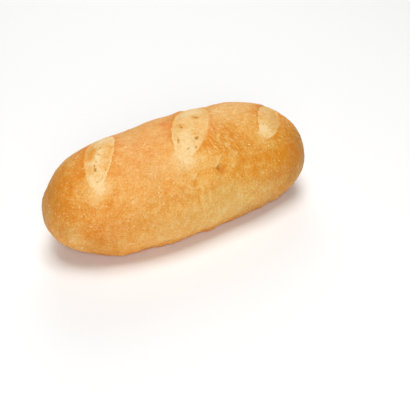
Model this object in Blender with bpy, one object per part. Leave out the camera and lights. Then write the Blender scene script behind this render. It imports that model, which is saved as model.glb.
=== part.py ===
"""A sourdough loaf: a smooth oval hearth loaf with three slanting cuts that have burst open.

The loaf is one closed crust. Its form is a rounded body that stands on a flat base, and the relief of the
crust is added along the body's normals: the three cuts with their lips and swollen crumb, the tucked fold
on the front, the soft pleats under it, and the gentle swells of the whole crust.
Metres, +Z up, length along X, the front at -Y, the origin in the middle of the base.
"""

import bmesh
import bpy
import numpy as np

MM = 0.001
NODE = "loaf"

# The whole loaf.
LENGTH = 290.0 * MM
WIDTH = 139.0 * MM
HEIGHT = 98.0 * MM

# The body. The left end (-X) is a tapering oval and the right end is blunt, so each has its own exponents.
PLAN_ROUNDNESS = (2.07, 3.74)
PROFILE_ROUNDNESS = (2.35, 4.14)
CROWN_ROUNDNESS = 2.15
UNDERSIDE_ROUNDNESS = 2.60
BELLY_HEIGHT = 0.438 * HEIGHT
UNDERSIDE_DEPTH = 1.25 * BELLY_HEIGHT
CROWN_FALL = 0.16
RIM_ROUNDING = 1.5 * MM
RIM_WAVE_HEIGHT = 0.4 * MM
RIM_WAVE_LENGTH = 19.0 * MM
RIM_WAVE_SLANT = (0.9, -0.5)

# The slow swells of the crust: seeded waves that cross the loaf in all directions.
SWELL_COUNT = 9
SWELL_LENGTHS = (34.0 * MM, 85.0 * MM)
SWELL_HEIGHT = 0.30 * MM
SWELL_SEED = 5

# Where the crown rises and dips along the loaf, and where the foot of the front bulges. Each swell is its
# place along the loaf, its reach to either side and its height, all in millimetres.
CROWN_SWELLS = (
    (-106, 32, 1.5),
    (-42, 17, -1.6),
    (-14, 15, -1.0),
    (28, 20, 1.6),
    (80, 12, 0.6),
    (120, 18, -1.7),
)
FOOT_SWELLS = (
    (-94, 17, 5.0),
    (-62, 13, -2.0),
    (-14, 13, -2.3),
    (4, 8, 1.5),
    (98, 14, 1.8),
)
FOOT_HEIGHT = 16.0 * MM
FOOT_FRONT = 20.0 * MM

# Relief comes in over these distances, above the belly and inwards from the tips of the ends.
CROWN_BLEND = 0.4 * BELLY_HEIGHT
END_BLEND = 0.06 * LENGTH

# The cuts.
LIP_WIDTH = 1.3 * MM
CUT_ROUNDNESS = 0.50
STEP_FADE = 0.4
EAR_REACH = 4.5 * MM

# The fold on the front, where the dough was tucked in: a lobe under an arched lip, and a hollow beside it.
LOBE_X = -3.0 * MM
LOBE_Z = 65.5 * MM
LOBE_HALF_WIDTH = 15.0 * MM
LOBE_HALF_HEIGHT = 13.0 * MM
LOBE_ROUNDNESS = 2.4
LOBE_TILT = 0.15
LOBE_SWELL = 0.9 * MM
TUCK_DEPTH = 1.6 * MM
TUCK_REACH = 2.6 * MM
TUCK_FOOT = 0.25
TUCK_BLEND = 0.6
HOLLOW_X = 13.2 * MM
HOLLOW_Z = 71.8 * MM
HOLLOW_RADIUS = 4.5 * MM
HOLLOW_DEPTH = 1.6 * MM
PLEAT_X = -10.0 * MM
PLEAT_Z = 54.0 * MM
PLEAT_REACH = 13.0 * MM
PLEAT_LENGTH = 8.5 * MM
PLEAT_HEIGHT = 0.35 * MM

# The mesh: rows run from end to end and rings go round. Each lip lies between two neighbouring rings.
UPPER_ROWS = 66
TUCK_ROWS = 7
BASE_ROWS = 9
RINGS_BETWEEN = (9, 9, 8, 8)
RINGS_INSIDE = (6, 9, 6)
SAMPLES = 900
NORMAL_STEP = 1e-4
LIP_HALF_SPAN = 0.9 * MM
CUT_HALF_SPAN = 3.5 * MM
LIP_RELEASE = 26.0 * MM
CROWN_FOOT = 0.76 * HEIGHT
SPARE_SPREAD = 0.09
FOLD_CROWDING = 1.2
BACK_SHARE = 0.60
BACK_BLEND = 0.3 * WIDTH
WIDEST_RIM_ANGLE = np.radians(72.0)
SHARP_ANGLE = np.radians(38.0)

CRUST_COLOUR = (0.80, 0.43, 0.13, 1.0)
CRUST_ROUGHNESS = 0.55


class Cut:
    """One cut across the crown, a lens seen from above, with the burst crumb swelling out of it.

    front and back are its tips, left and right say how far its lips stand from the line between the tips,
    step and sill are how far the crumb lies below the left lip and the right one, swell is how far it rises
    between them, and ear is how far the left lip has lifted.
    """

    def __init__(self, front, back, left, right, step, sill, swell, ear):
        self.front = np.array(front) * MM
        run = np.array(back) * MM - self.front
        self.half_length = np.hypot(*run) / 2.0
        self.along = run / np.hypot(*run)
        self.left = left * MM
        self.right = right * MM
        self.step = step * MM
        self.sill = sill * MM
        self.swell = swell * MM
        self.ear = ear * MM

    def middle(self):
        """The point half-way between the tips."""
        return self.front + self.along * self.half_length

    def place(self, x, y):
        """Where points lie in the lens: from -1 to 1 along it, and how far inside each lip."""
        run_x = x - self.front[0]
        run_y = y - self.front[1]
        along = (run_x * self.along[0] + run_y * self.along[1]) / self.half_length - 1.0
        across = run_x * self.along[1] - run_y * self.along[0]
        width = np.clip(1.0 - along**2, 0.0, None) ** CUT_ROUNDNESS
        overrun = np.clip(np.abs(along) - 1.0, 0.0, None) * self.half_length
        return along, across + self.left * width - overrun, self.right * width - across - overrun

    def depth_inside(self, x, y):
        """How far points lie inside the lens, negative outside it."""
        _, from_left, from_right = self.place(x, y)
        return np.minimum(from_left, from_right)

    def relief(self, x, y):
        """The steps down at the two lips, the crumb that swells between them, and the lifted ear."""
        along, from_left, from_right = self.place(x, y)
        fade = np.clip(1.0 - along**2, 0.0, 1.0)
        opening = smooth_step((np.minimum(from_left, from_right) + 0.5 * LIP_WIDTH) / LIP_WIDTH)
        share = np.clip(from_left / np.maximum(from_left + from_right, LIP_WIDTH), 0.0, 1.0)
        floor = (self.step * (1.0 - share) + self.sill * share) * fade**STEP_FADE
        crumb = self.swell * 4.0 * share * (1.0 - share) * fade - floor
        ear = self.ear * np.exp(-((from_left / EAR_REACH) ** 2)) * fade
        return opening * crumb + (1.0 - opening) * ear


CUTS = (
    Cut((-105.5, -31.5), (-57.0, 41.0), left=13.8, right=14.3, step=1.1, sill=0.7, swell=1.2, ear=0.3),
    Cut((-17.5, -40.5), (56.0, 52.0), left=15.3, right=22.8, step=2.0, sill=0.6, swell=1.9, ear=2.5),
    Cut((83.0, -38.5), (136.0, 20.0), left=7.8, right=17.0, step=2.4, sill=0.9, swell=1.6, ear=0.6),
)


def smooth_step(value):
    """0 below 0, 1 above 1, and an even S between."""
    value = np.clip(value, 0.0, 1.0)
    return value * value * (3.0 - 2.0 * value)


def soft_floor(height, rounding):
    """Heights cut off flat at 0, with a parabola that rounds the edge of the cut."""
    curve = (height + rounding) ** 2 / (4.0 * rounding)
    return np.where(height > rounding, height, np.where(height < -rounding, 0.0, curve))


def body(turn, angle):
    """The loaf without relief. turn goes from 0 at the left end to pi, angle round the section from +Y.

    A station's half width and height are those of superellipses in plan and in profile, and its section is
    a superellipse again, whose underside would reach below the base and is cut off flat there.
    """
    station = -np.cos(turn)
    reach = np.abs(station)
    plan = np.where(station < 0.0, *PLAN_ROUNDNESS)
    profile = np.where(station < 0.0, *PROFILE_ROUNDNESS)
    half_width = WIDTH / 2.0 * np.clip(1.0 - reach**plan, 0.0, None) ** (1.0 / plan)
    rise = np.clip(1.0 - reach**profile, 0.0, None) ** (1.0 / profile)
    upper = np.sin(angle) > 0.0
    roundness = np.where(upper, CROWN_ROUNDNESS, UNDERSIDE_ROUNDNESS)
    sideways = np.sign(np.cos(angle)) * np.abs(np.cos(angle)) ** (2.0 / roundness)
    upwards = np.abs(np.sin(angle)) ** (2.0 / roundness)
    x = station * LENGTH / 2.0
    y = half_width * sideways
    crown = (HEIGHT - BELLY_HEIGHT) * (1.0 - CROWN_FALL * station) * upwards * rise
    height = BELLY_HEIGHT + np.where(upper, crown, -UNDERSIDE_DEPTH * upwards * rise)
    wave_run = RIM_WAVE_SLANT[0] * x + RIM_WAVE_SLANT[1] * y
    wave = RIM_WAVE_HEIGHT * np.sin(2.0 * np.pi * wave_run / RIM_WAVE_LENGTH)
    height = height + np.where(upper, 0.0, wave * rise * upwards)
    return np.stack(np.broadcast_arrays(x, y, soft_floor(height, RIM_ROUNDING)), axis=-1)


def bulges(x, table):
    """The sum of bell-shaped swells along the loaf."""
    total = np.zeros_like(x)
    for middle, reach, height in table:
        total += height * MM * np.exp(-(((x / MM - middle) / reach) ** 2))
    return total


def swells(points):
    """Slow waves that cross the loaf in seeded directions and add up to gentle lumps."""
    draw = np.random.default_rng(SWELL_SEED)
    total = np.zeros(points.shape[:-1])
    for _ in range(SWELL_COUNT):
        direction = draw.normal(size=3)
        direction /= np.linalg.norm(direction)
        length = draw.uniform(*SWELL_LENGTHS)
        phase = draw.uniform(0.0, 2.0 * np.pi)
        total += np.sin(2.0 * np.pi * (points @ direction) / length + phase)
    return SWELL_HEIGHT * total


def lobe_place(x, z):
    """How far out points of the front lie on the lobe's superellipse, with 1 on its edge, and how far up."""
    across = (x - LOBE_X) / LOBE_HALF_WIDTH
    up = (z - LOBE_Z - LOBE_TILT * (x - LOBE_X)) / LOBE_HALF_HEIGHT
    return (np.abs(across) ** LOBE_ROUNDNESS + np.abs(up) ** LOBE_ROUNDNESS) ** (1.0 / LOBE_ROUNDNESS), up


def fold(points):
    """The tucked lobe on the front: it swells under an arched lip, with a hollow beside it and pleats below."""
    x, y, z = points[..., 0], points[..., 1], points[..., 2]
    radius, up = lobe_place(x, z)
    inside = (1.0 - radius) * LOBE_HALF_HEIGHT
    upper_half = smooth_step((up / np.maximum(radius, 0.1) + TUCK_FOOT) / TUCK_BLEND)
    edge = smooth_step((inside + 0.5 * LIP_WIDTH) / LIP_WIDTH)
    tuck = -TUCK_DEPTH * np.exp(-np.clip(inside, 0.0, None) / TUCK_REACH) * edge * upper_half
    lobe = LOBE_SWELL * np.clip(1.0 - radius**2, 0.0, None)
    hollow = -HOLLOW_DEPTH * np.exp(-(((x - HOLLOW_X) ** 2 + (z - HOLLOW_Z) ** 2) / HOLLOW_RADIUS**2))
    window = np.exp(-(((x - PLEAT_X) / PLEAT_REACH) ** 2) - ((z - PLEAT_Z) / PLEAT_REACH) ** 2)
    pleats = PLEAT_HEIGHT * np.cos(2.0 * np.pi * (x - PLEAT_X) / PLEAT_LENGTH) * window
    return np.where(y < 0.0, tuck + lobe + hollow + pleats, 0.0)


def relief(points):
    """How far the crust stands out from the body, which fades to nothing at the base and at both ends."""
    x, y, z = points[..., 0], points[..., 1], points[..., 2]
    crown = smooth_step((z - BELLY_HEIGHT) / CROWN_BLEND)
    cuts = sum(cut.relief(x, y) for cut in CUTS)
    above_base = smooth_step(z / BELLY_HEIGHT)
    ends = smooth_step((LENGTH / 2.0 - np.abs(x)) / END_BLEND)
    return (crown * (cuts + bulges(x, CROWN_SWELLS)) + above_base * (swells(points) + fold(points))) * ends


def foot(points):
    """How far the foot of the front spreads over what the loaf stands on, as a shift towards the front."""
    x, y, z = points[..., 0], points[..., 1], points[..., 2]
    front = smooth_step((-y - FOOT_FRONT) / FOOT_FRONT) * np.exp(-((z / FOOT_HEIGHT) ** 2))
    return np.stack([np.zeros_like(x), -front * bulges(x, FOOT_SWELLS), np.zeros_like(x)], axis=-1)


def normals(turn, angle):
    """The body's outward normals, from the cross product of small steps along it and round it."""
    inner = np.clip(turn, 2.0 * NORMAL_STEP, np.pi - 2.0 * NORMAL_STEP)
    along = body(inner + NORMAL_STEP, angle) - body(inner - NORMAL_STEP, angle)
    around = body(inner, angle + NORMAL_STEP) - body(inner, angle - NORMAL_STEP)
    cross = np.cross(around, along)
    return cross / np.maximum(np.linalg.norm(cross, axis=-1, keepdims=True), 1e-12)


def upper_angles():
    """The rows of the upper side, spaced by the section's arc, closer at the fold and wider on the back."""
    edges = np.linspace(0.0, np.pi, SAMPLES + 1)
    arc = np.linalg.norm(np.diff(body(np.full_like(edges, np.pi / 2.0), edges), axis=0), axis=1)
    middle = body(np.full(SAMPLES, np.pi / 2.0), (edges[1:] + edges[:-1]) / 2.0)
    at_fold = np.exp(-(((middle[:, 2] - LOBE_Z) / LOBE_HALF_HEIGHT) ** 2)) * (middle[:, 1] < 0.0)
    at_back = smooth_step(middle[:, 1] / BACK_BLEND)
    density = arc * (1.0 + FOLD_CROWDING * at_fold - (1.0 - BACK_SHARE) * at_back)
    share = np.concatenate([[0.0], np.cumsum(density)]) / density.sum()
    return np.interp(np.linspace(0.0, 1.0, UPPER_ROWS + 1), share, edges)


def row_angles(turn):
    """Every row's angle at the given turns, rows first.

    Rows of the upper side keep their angle. Below it they run to the base's rim, so that one row follows
    the rim, and then across the base. Past the ends of the base the rim's row keeps a steady angle.
    """
    upper = np.broadcast_to(upper_angles()[:, None], (UPPER_ROWS + 1, len(turn)))
    station = -np.cos(turn)
    profile = np.where(station < 0.0, *PROFILE_ROUNDNESS)
    rise = np.clip(1.0 - np.abs(station) ** profile, 1e-6, None) ** (1.0 / profile)
    cut_off = np.clip(BELLY_HEIGHT / (UNDERSIDE_DEPTH * rise), 0.0, 1.0)
    rim = np.minimum(np.arcsin(cut_off ** (UNDERSIDE_ROUNDNESS / 2.0)), WIDEST_RIM_ANGLE)
    tuck = np.arange(1, TUCK_ROWS + 1)[:, None] / TUCK_ROWS * rim
    across = rim + np.arange(1, BASE_ROWS)[:, None] / BASE_ROWS * (np.pi - 2.0 * rim)
    return np.concatenate([upper, np.pi + tuck, np.pi + across, 2.0 * np.pi - tuck[::-1]])


def lip_places(cut, points, along):
    """Where each row crosses a cut's two lips, as a distance along the row.

    A row that misses the cut gets a narrow pair at the place where it passes closest, and the weight that
    comes with the pair falls to nothing as rows get further from the cut.
    """
    x, y, z = np.moveaxis(points, -1, 0)
    depth = cut.depth_inside(x, y) - np.clip(CROWN_FOOT - z, 0.0, None)
    rows = np.arange(len(depth))
    closest = depth.argmax(axis=1)
    inside = depth > 0.0
    first = np.where(inside.any(axis=1), inside.argmax(axis=1), closest)
    last = np.where(inside.any(axis=1), inside.shape[1] - 1 - inside[:, ::-1].argmax(axis=1), closest)
    middle = (along[rows, first] + along[rows, last]) / 2.0
    half = np.maximum((along[rows, last] - along[rows, first]) / 2.0, CUT_HALF_SPAN)
    weight = smooth_step(1.0 + depth[rows, closest] / LIP_RELEASE)
    return middle - half, middle + half, weight


def ring_turns():
    """The turns of the rings on every row: evenly between the lips that the row crosses, tight at each."""
    edges = np.linspace(0.0, np.pi, SAMPLES + 1)
    points = body(edges, row_angles(edges))
    steps = np.linalg.norm(np.diff(points, axis=1), axis=2)
    along = np.concatenate([np.zeros((len(points), 1)), np.cumsum(steps, axis=1)], axis=1)
    knots = [np.zeros(len(points))]
    for cut in CUTS:
        first, last, weight = lip_places(cut, points, along)
        home = (cut.middle()[0] / LENGTH + 0.5) * along[:, -1]
        spread = SPARE_SPREAD * along[:, -1]
        first = weight * first + (1.0 - weight) * (home - spread)
        last = weight * last + (1.0 - weight) * (home + spread)
        knots += [first - LIP_HALF_SPAN, first + LIP_HALF_SPAN, last - LIP_HALF_SPAN, last + LIP_HALF_SPAN]
    knots.append(along[:, -1])
    counts = [RINGS_BETWEEN[0]]
    for inside, between in zip(RINGS_INSIDE, RINGS_BETWEEN[1:]):
        counts += [1, inside, 1, between]
    at_knots = np.concatenate([[0], np.cumsum(counts)])
    rings = np.arange(at_knots[-1] + 1)
    places = np.array([np.interp(rings, at_knots, row) for row in np.stack(knots, axis=1)])
    return np.array([np.interp(place, row, edges) for place, row in zip(places, along)])


def crust_points():
    """The grid of crust points, row by row, fitted to the loaf's length, width and height."""
    turn = ring_turns()
    edges = np.linspace(0.0, np.pi, SAMPLES + 1)
    angle = np.array([np.interp(turns, edges, row) for turns, row in zip(turn, row_angles(edges))])
    points = body(turn, angle)
    points = points + normals(turn, angle) * relief(points)[..., None] + foot(points)
    low = points.min(axis=(0, 1))
    high = points.max(axis=(0, 1))
    size = np.array([LENGTH, WIDTH, HEIGHT])
    corner = np.array([-LENGTH / 2.0, -WIDTH / 2.0, 0.0])
    return (points - low) / (high - low) * size + corner


def build_crust(material):
    """Rings of points bridged from end to end, closed by a point at each end."""
    points = crust_points()
    rows, last = points.shape[0], points.shape[1] - 1
    mesh = bmesh.new()
    left = mesh.verts.new(points[0, 0])
    right = mesh.verts.new(points[0, last])
    rings = [[mesh.verts.new(points[row, ring]) for row in range(rows)] for ring in range(1, last)]
    for row in range(rows):
        following = (row + 1) % rows
        mesh.faces.new((left, rings[0][row], rings[0][following]))
        mesh.faces.new((right, rings[-1][following], rings[-1][row]))
        for ring, outer in zip(rings[:-1], rings[1:]):
            mesh.faces.new((ring[row], outer[row], outer[following], ring[following]))
    bmesh.ops.triangulate(mesh, faces=mesh.faces, quad_method="SHORT_EDGE")
    bmesh.ops.recalc_face_normals(mesh, faces=mesh.faces)
    crust = bpy.data.meshes.new(NODE)
    mesh.to_mesh(crust)
    mesh.free()
    crust.shade_smooth()
    crust.set_sharp_from_angle(angle=SHARP_ANGLE)
    crust.materials.append(material)
    loaf = bpy.data.objects.new(NODE, crust)
    bpy.context.scene.collection.objects.link(loaf)


def crust_material():
    """Golden baked crust."""
    material = bpy.data.materials.new("crust")
    material.use_nodes = True
    shader = material.node_tree.nodes["Principled BSDF"]
    shader.inputs["Base Color"].default_value = CRUST_COLOUR
    shader.inputs["Roughness"].default_value = CRUST_ROUGHNESS
    shader.inputs["Metallic"].default_value = 0.0
    return material


def main():
    for thing in list(bpy.data.objects):
        bpy.data.objects.remove(thing, do_unlink=True)
    build_crust(crust_material())


main()
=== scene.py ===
"""A sourdough loaf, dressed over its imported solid.

The crust, the crumb that has burst out of its three cuts, the fold on its front and its blisters are
surfaces worked out with numpy on one rounded body, so the pieces meet without gaps. The file is laid out as
an add-on and is run as a script: main() calls the operators in order. Metres, +Z up, the loaf's length
along X and its front at -Y. Tables and the lengths of the cuts are in millimetres.
"""

import bpy
import numpy as np
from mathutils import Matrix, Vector


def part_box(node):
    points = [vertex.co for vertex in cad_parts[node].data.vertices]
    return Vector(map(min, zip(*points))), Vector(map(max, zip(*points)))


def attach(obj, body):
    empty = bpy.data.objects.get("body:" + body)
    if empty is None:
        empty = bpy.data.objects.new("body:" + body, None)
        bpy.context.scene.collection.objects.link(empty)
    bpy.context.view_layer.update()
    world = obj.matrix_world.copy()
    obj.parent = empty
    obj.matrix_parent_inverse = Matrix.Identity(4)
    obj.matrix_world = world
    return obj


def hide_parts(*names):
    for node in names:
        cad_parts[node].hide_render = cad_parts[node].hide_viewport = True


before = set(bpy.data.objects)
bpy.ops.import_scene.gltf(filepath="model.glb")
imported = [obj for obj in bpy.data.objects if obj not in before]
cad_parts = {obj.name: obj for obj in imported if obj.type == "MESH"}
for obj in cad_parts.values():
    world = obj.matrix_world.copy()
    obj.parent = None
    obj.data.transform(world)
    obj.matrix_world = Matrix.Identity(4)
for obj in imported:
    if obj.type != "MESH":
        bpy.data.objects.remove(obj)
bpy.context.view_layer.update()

bl_info = {
    "name": "Sourdough loaf",
    "version": (1, 0, 0),
    "blender": (4, 5, 0),
    "location": "View3D > Sidebar > Bread",
    "description": "Dresses a loaf of bread with its crust, burst crumb and blisters",
    "category": "Add Mesh",
}

MM = 0.001
NODE = "loaf"
BODY = "root"
LOW, HIGH = (np.array(corner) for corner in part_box(NODE))
LENGTH, WIDTH, HEIGHT = HIGH - LOW

# The body. The left end (-X) is a tapering oval and the right end is blunt, so each has its own exponents.
PLAN_ROUNDNESS = (2.07, 3.74)
PROFILE_ROUNDNESS = (2.35, 4.14)
CROWN_ROUNDNESS = 2.15
UNDERSIDE_ROUNDNESS = 2.60
BELLY_HEIGHT = 0.438 * HEIGHT
UNDERSIDE_DEPTH = 1.25 * BELLY_HEIGHT
CROWN_FALL = 0.16
RIM_ROUNDING = 1.5 * MM
RIM_WAVE_HEIGHT = 0.4 * MM
RIM_WAVE_LENGTH = 19.0 * MM
RIM_WAVE_SLANT = (0.9, -0.5)

# The slow swells of the crust: seeded waves that cross the loaf in all directions.
SWELL_COUNT = 9
SWELL_LENGTHS = (34.0 * MM, 85.0 * MM)
SWELL_HEIGHT = 0.30 * MM
SWELL_SEED = 5

# Where the crown rises and dips along the loaf, where its crest dips under the swollen crumb, and where the
# foot of the front bulges: the place along the loaf, the reach to either side and the height.
CROWN_SWELLS = (
    (-106, 32, 1.5), (-42, 17, -2.2), (-14, 15, -1.5), (28, 20, 1.6), (80, 12, 0.6), (120, 18, -1.7),
)
CREST_SWELLS = ((10, 26, -1.35),)
CREST_FOOT = 86.0 * MM
CREST_BLEND = 10.0 * MM
FOOT_SWELLS = (
    (-94, 17, 5.0), (-62, 13, -2.0), (-14, 13, -2.3), (4, 8, 1.5), (98, 14, 1.8),
)
FOOT_HEIGHT = 16.0 * MM
FOOT_FRONT = 20.0 * MM
CROWN_BLEND = 0.4 * BELLY_HEIGHT
END_BLEND = 0.06 * LENGTH

# The cuts: the crust's lips, sharp on the left and soft on the right, and how the left one has torn open.
LIP_WIDTH = 0.9 * MM
SHOULDER_WIDTH = 2.2 * MM
CUT_ROUNDNESS = 0.50
STEP_FADE = 0.4
EAR_REACH = 4.5 * MM
FRONT_TEAR = 0.35
TEAR_START = -0.3
TEAR_SPAN = 0.8
# How far outside each lip the crust darkens and over what reach: partly browner crust, partly painted shade.
LIP_DARKENING_OFFSET = 1.3 * MM
LIP_DARKENING_REACH = 1.7 * MM

# The pieces that are let into the crust: how the crust sinks under them, how they dive under it round their
# borders, how thick they are, and how far the crust stays under the solid's top, because the crumb swells
# past it.
CAVITY_DEPTH = 2.4 * MM
CAVITY_SHORE = 2.6 * MM
DIVE_REACH = 2.0 * MM
DIVE_DEPTH = 1.6 * MM
INLAY_THICKNESS = 6.0 * MM
CRUMB_CLEARANCE = (0.0, 0.0, 0.33 * MM)
INLAY_SPACING = 0.34 * MM
INLAY_UNDER_ROWS = 8
TIP_CROWDING = 0.5

# The fold on the front, where the dough was tucked in. The upper sheet ends in a lip, a curve through these
# places along the loaf and up it. At these shares of the lip the dough under it is drawn in by these depths.
FOLD_LIP = (
    (-19.6, 64.5), (-17.6, 71.0), (-12.4, 75.6), (-8.6, 77.7), (-3.6, 78.7), (4.4, 77.9), (10.8, 76.4),
    (15.8, 78.5), (19.3, 80.7), (23.6, 81.8), (28.5, 82.6),
)
LIP_PLACES = (0.0, 0.12, 0.3, 0.5, 0.6, 0.66, 0.82, 0.95, 1.0)
LIP_DEPTHS = (0.0, 0.8, 0.6, 0.35, 0.7, 1.3, 1.0, 0.5, 0.0)
LIP_RISE = 0.15 * MM
LIP_BEAD = 0.9 * MM
LIP_FALL = 1.7 * MM
TUCK_REACH = 3.6 * MM
LOBE_X = -3.0 * MM
LOBE_Z = 65.5 * MM
LOBE_HALF_WIDTH = 15.0 * MM
LOBE_HALF_HEIGHT = 13.0 * MM
LOBE_ROUNDNESS = 2.4
LOBE_TILT = 0.15
LOBE_SWELL = 0.9 * MM
HOLLOW_X = 14.2 * MM
HOLLOW_Z = 73.4 * MM
HOLLOW_RADIUS = 4.5 * MM
HOLLOW_DEPTH = 1.0 * MM
PIT_X = 11.2 * MM
PIT_Z = 75.5 * MM
PIT_RADIUS = 0.9 * MM
LIP_FULL_DEPTH = 0.6 * MM
# Painted shade under the lip, in the pit and in the creases, and a painted highlight on the lip's bead.
TUCK_SHADE_REACH = 2.4 * MM
TUCK_SHADE_TONE = 0.22
BEAD_HIGHLIGHT = 0.14
PIT_SHADE_TONE = 0.9
PIT_SHADE = 0.30
CREASE_SHADE_TONE = 0.45

# Creases that run down from the fold: the places of each as for the lip, and how deep it is, which also sets
# how much shade is painted in it.
CREASES = (
    (((-12.6, 66.5), (-14.5, 60.6), (-15.9, 56.0), (-16.6, 49.5)), 0.55),
    (((0.6, 67.0), (-0.6, 60.0), (-1.8, 53.0)), 0.22),
    (((12.4, 63.5), (11.6, 57.0), (12.8, 51.0)), 0.22),
    (((21.5, 62.0), (20.6, 55.0), (21.4, 49.0)), 0.20),
)
CREASE_REACH = 1.5 * MM

# The piece that holds the fold, a lens on the front seen from there, and the pleats under it.
FOLD_X = 8.0 * MM
FOLD_Z = 65.5 * MM
FOLD_HALF_LENGTH = 38.0 * MM
FOLD_HALF_HEIGHT = 22.0 * MM
FOLD_CAVITY_DEPTH = 4.6 * MM
FOLD_SHORE = 7.0 * MM
FOLD_REAR = -20.0 * MM
CURVE_POINTS = 36
PLEAT_X = -10.0 * MM
PLEAT_Z = 54.0 * MM
PLEAT_REACH = 13.0 * MM
PLEAT_LENGTH = 8.5 * MM
PLEAT_HEIGHT = 0.35 * MM

# The crust's grid: rows run from end to end and rings go round, with a few rings across every lip.
UPPER_ROWS = 206
FRONT_ROWS = 44
BASE_ROWS = 9
BACK_ROWS = 26
RINGS_BETWEEN = (74, 74, 62, 56)
RINGS_INSIDE = (14, 20, 12)
RINGS_ON_LIP = 5
SAMPLES = 1600
NORMAL_STEP = 1e-4
NEARLY_NOTHING = 1e-9
LIP_HALF_SPAN = 0.9 * MM
CUT_HALF_SPAN = 3.5 * MM
LIP_RELEASE = 26.0 * MM
CROWN_FOOT = 0.76 * HEIGHT
SPARE_SPREAD = 0.09
BACK_SHARE = 0.60
BACK_BLEND = 0.3 * WIDTH
WIDEST_RIM_ANGLE = np.radians(72.0)

# Blisters: each is turned from a profile of radius and height, as shares of its own, with this many sides.
# The step finds the crust's plane under it. Heights are shares of the radius, and the largest radius is a
# multiple of the middling one. They crowd towards both ends, and keep clear of the cuts, the fold and the
# foot.
BLISTER_PROFILE = ((0.0, 1.0), (0.36, 0.78), (0.70, 0.26), (1.0, -0.10), (0.0, -0.45))
BLISTER_SIDES = 8
BLISTER_STEP = 2e-3
BLISTER_SEEDS = (41, 43)
BLISTER_LARGEST = 1.6
BLISTER_HEIGHTS = (0.14, 0.30)
BLISTER_STRETCHES = (1.0, 1.45)
BLISTER_SLANT = 0.5
BLISTER_PALENESS = 0.90
BLISTER_TONE = 0.06
MIDDLE_CROWD = 0.45
LEFT_CROWD_START = -70 * MM
LEFT_CROWD_RUN = 50 * MM
RIGHT_CROWD = 1.2
RIGHT_CROWD_RUN = 40 * MM
BLISTER_CUT_GAP = 1.5 * MM
BLISTER_FOLD_GAP = 1.0 * MM
BLISTER_FOOT = 4 * MM
BLISTER_FOOT_RUN = 6 * MM

# The small pores of the crumb: how far from a cut's middle they may lie, as shares along it and across it,
# their half widths in millimetres, how long and how deep they are, as multiples of the half width, and the
# cell of the noise that bends the outlines of all pores.
SMALL_PORE_SPREAD = (0.8, 0.85)
SMALL_PORE_SIZES = (0.35, 0.75)
SMALL_PORE_STRETCH = (1.0, 2.2)
SMALL_PORE_DEPTH = 0.6
PORE_WARP_CELL = 1.8

# The fine relief of the crust and of the crumb: each layer of noise has its name, its cell and its seed. The
# folded ones are ridges that stand where the noise is nearly 0. The crust creases most on the right end and
# the left one, from these places over this run.
LATTICE = 256
CRUST_LAYERS = (
    ("lump", 20, 11), ("dimple", 8, 12), ("grain", 3.2, 13), ("crease", (3.2, 6, 9), 14),
    ("crinkle", (5, 5, 7), 15), ("wrinkle", (3.2, 6.5, 9), 17),
)
CRUMB_LAYERS = (("lump", 6, 21), ("wool", 2.4, 22), ("grain", 1.2, 23))
FOLDED_LAYERS = ("crease", "wrinkle")
RIDGE_LEVEL = 0.4
RIGHT_CREASES = 5
LEFT_CREASES = -85
CREASE_RUN = 30
LEAST_CREASED = 0.25
LEFT_CREASED = 0.7
CRINKLE_MIDDLE = 10
CRINKLE_REACH = 8
RIPPLE_LENGTH = 2.6 * MM
RIPPLE_WAVER = 1.2 * MM

# The studio: wide soft lights far enough away to light the floor evenly. Directions are azimuth and
# elevation in degrees, from straight in front of the loaf.
LIGHT_DISTANCE = 2.6
LIGHT_SIZE = 1.4
OVERHEAD = (0, 90)
FRONT = (-30, 30)
BACK = (150, 30)
SENSOR_WIDTH = 36.0
FLOOR_REACH = 12.0
FLOOR_FADE = (0.65, 1.9)
ROOM_COLOUR = (1.0, 0.99, 0.975, 1.0)
FLOOR_GAP = 0.1 * MM


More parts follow.
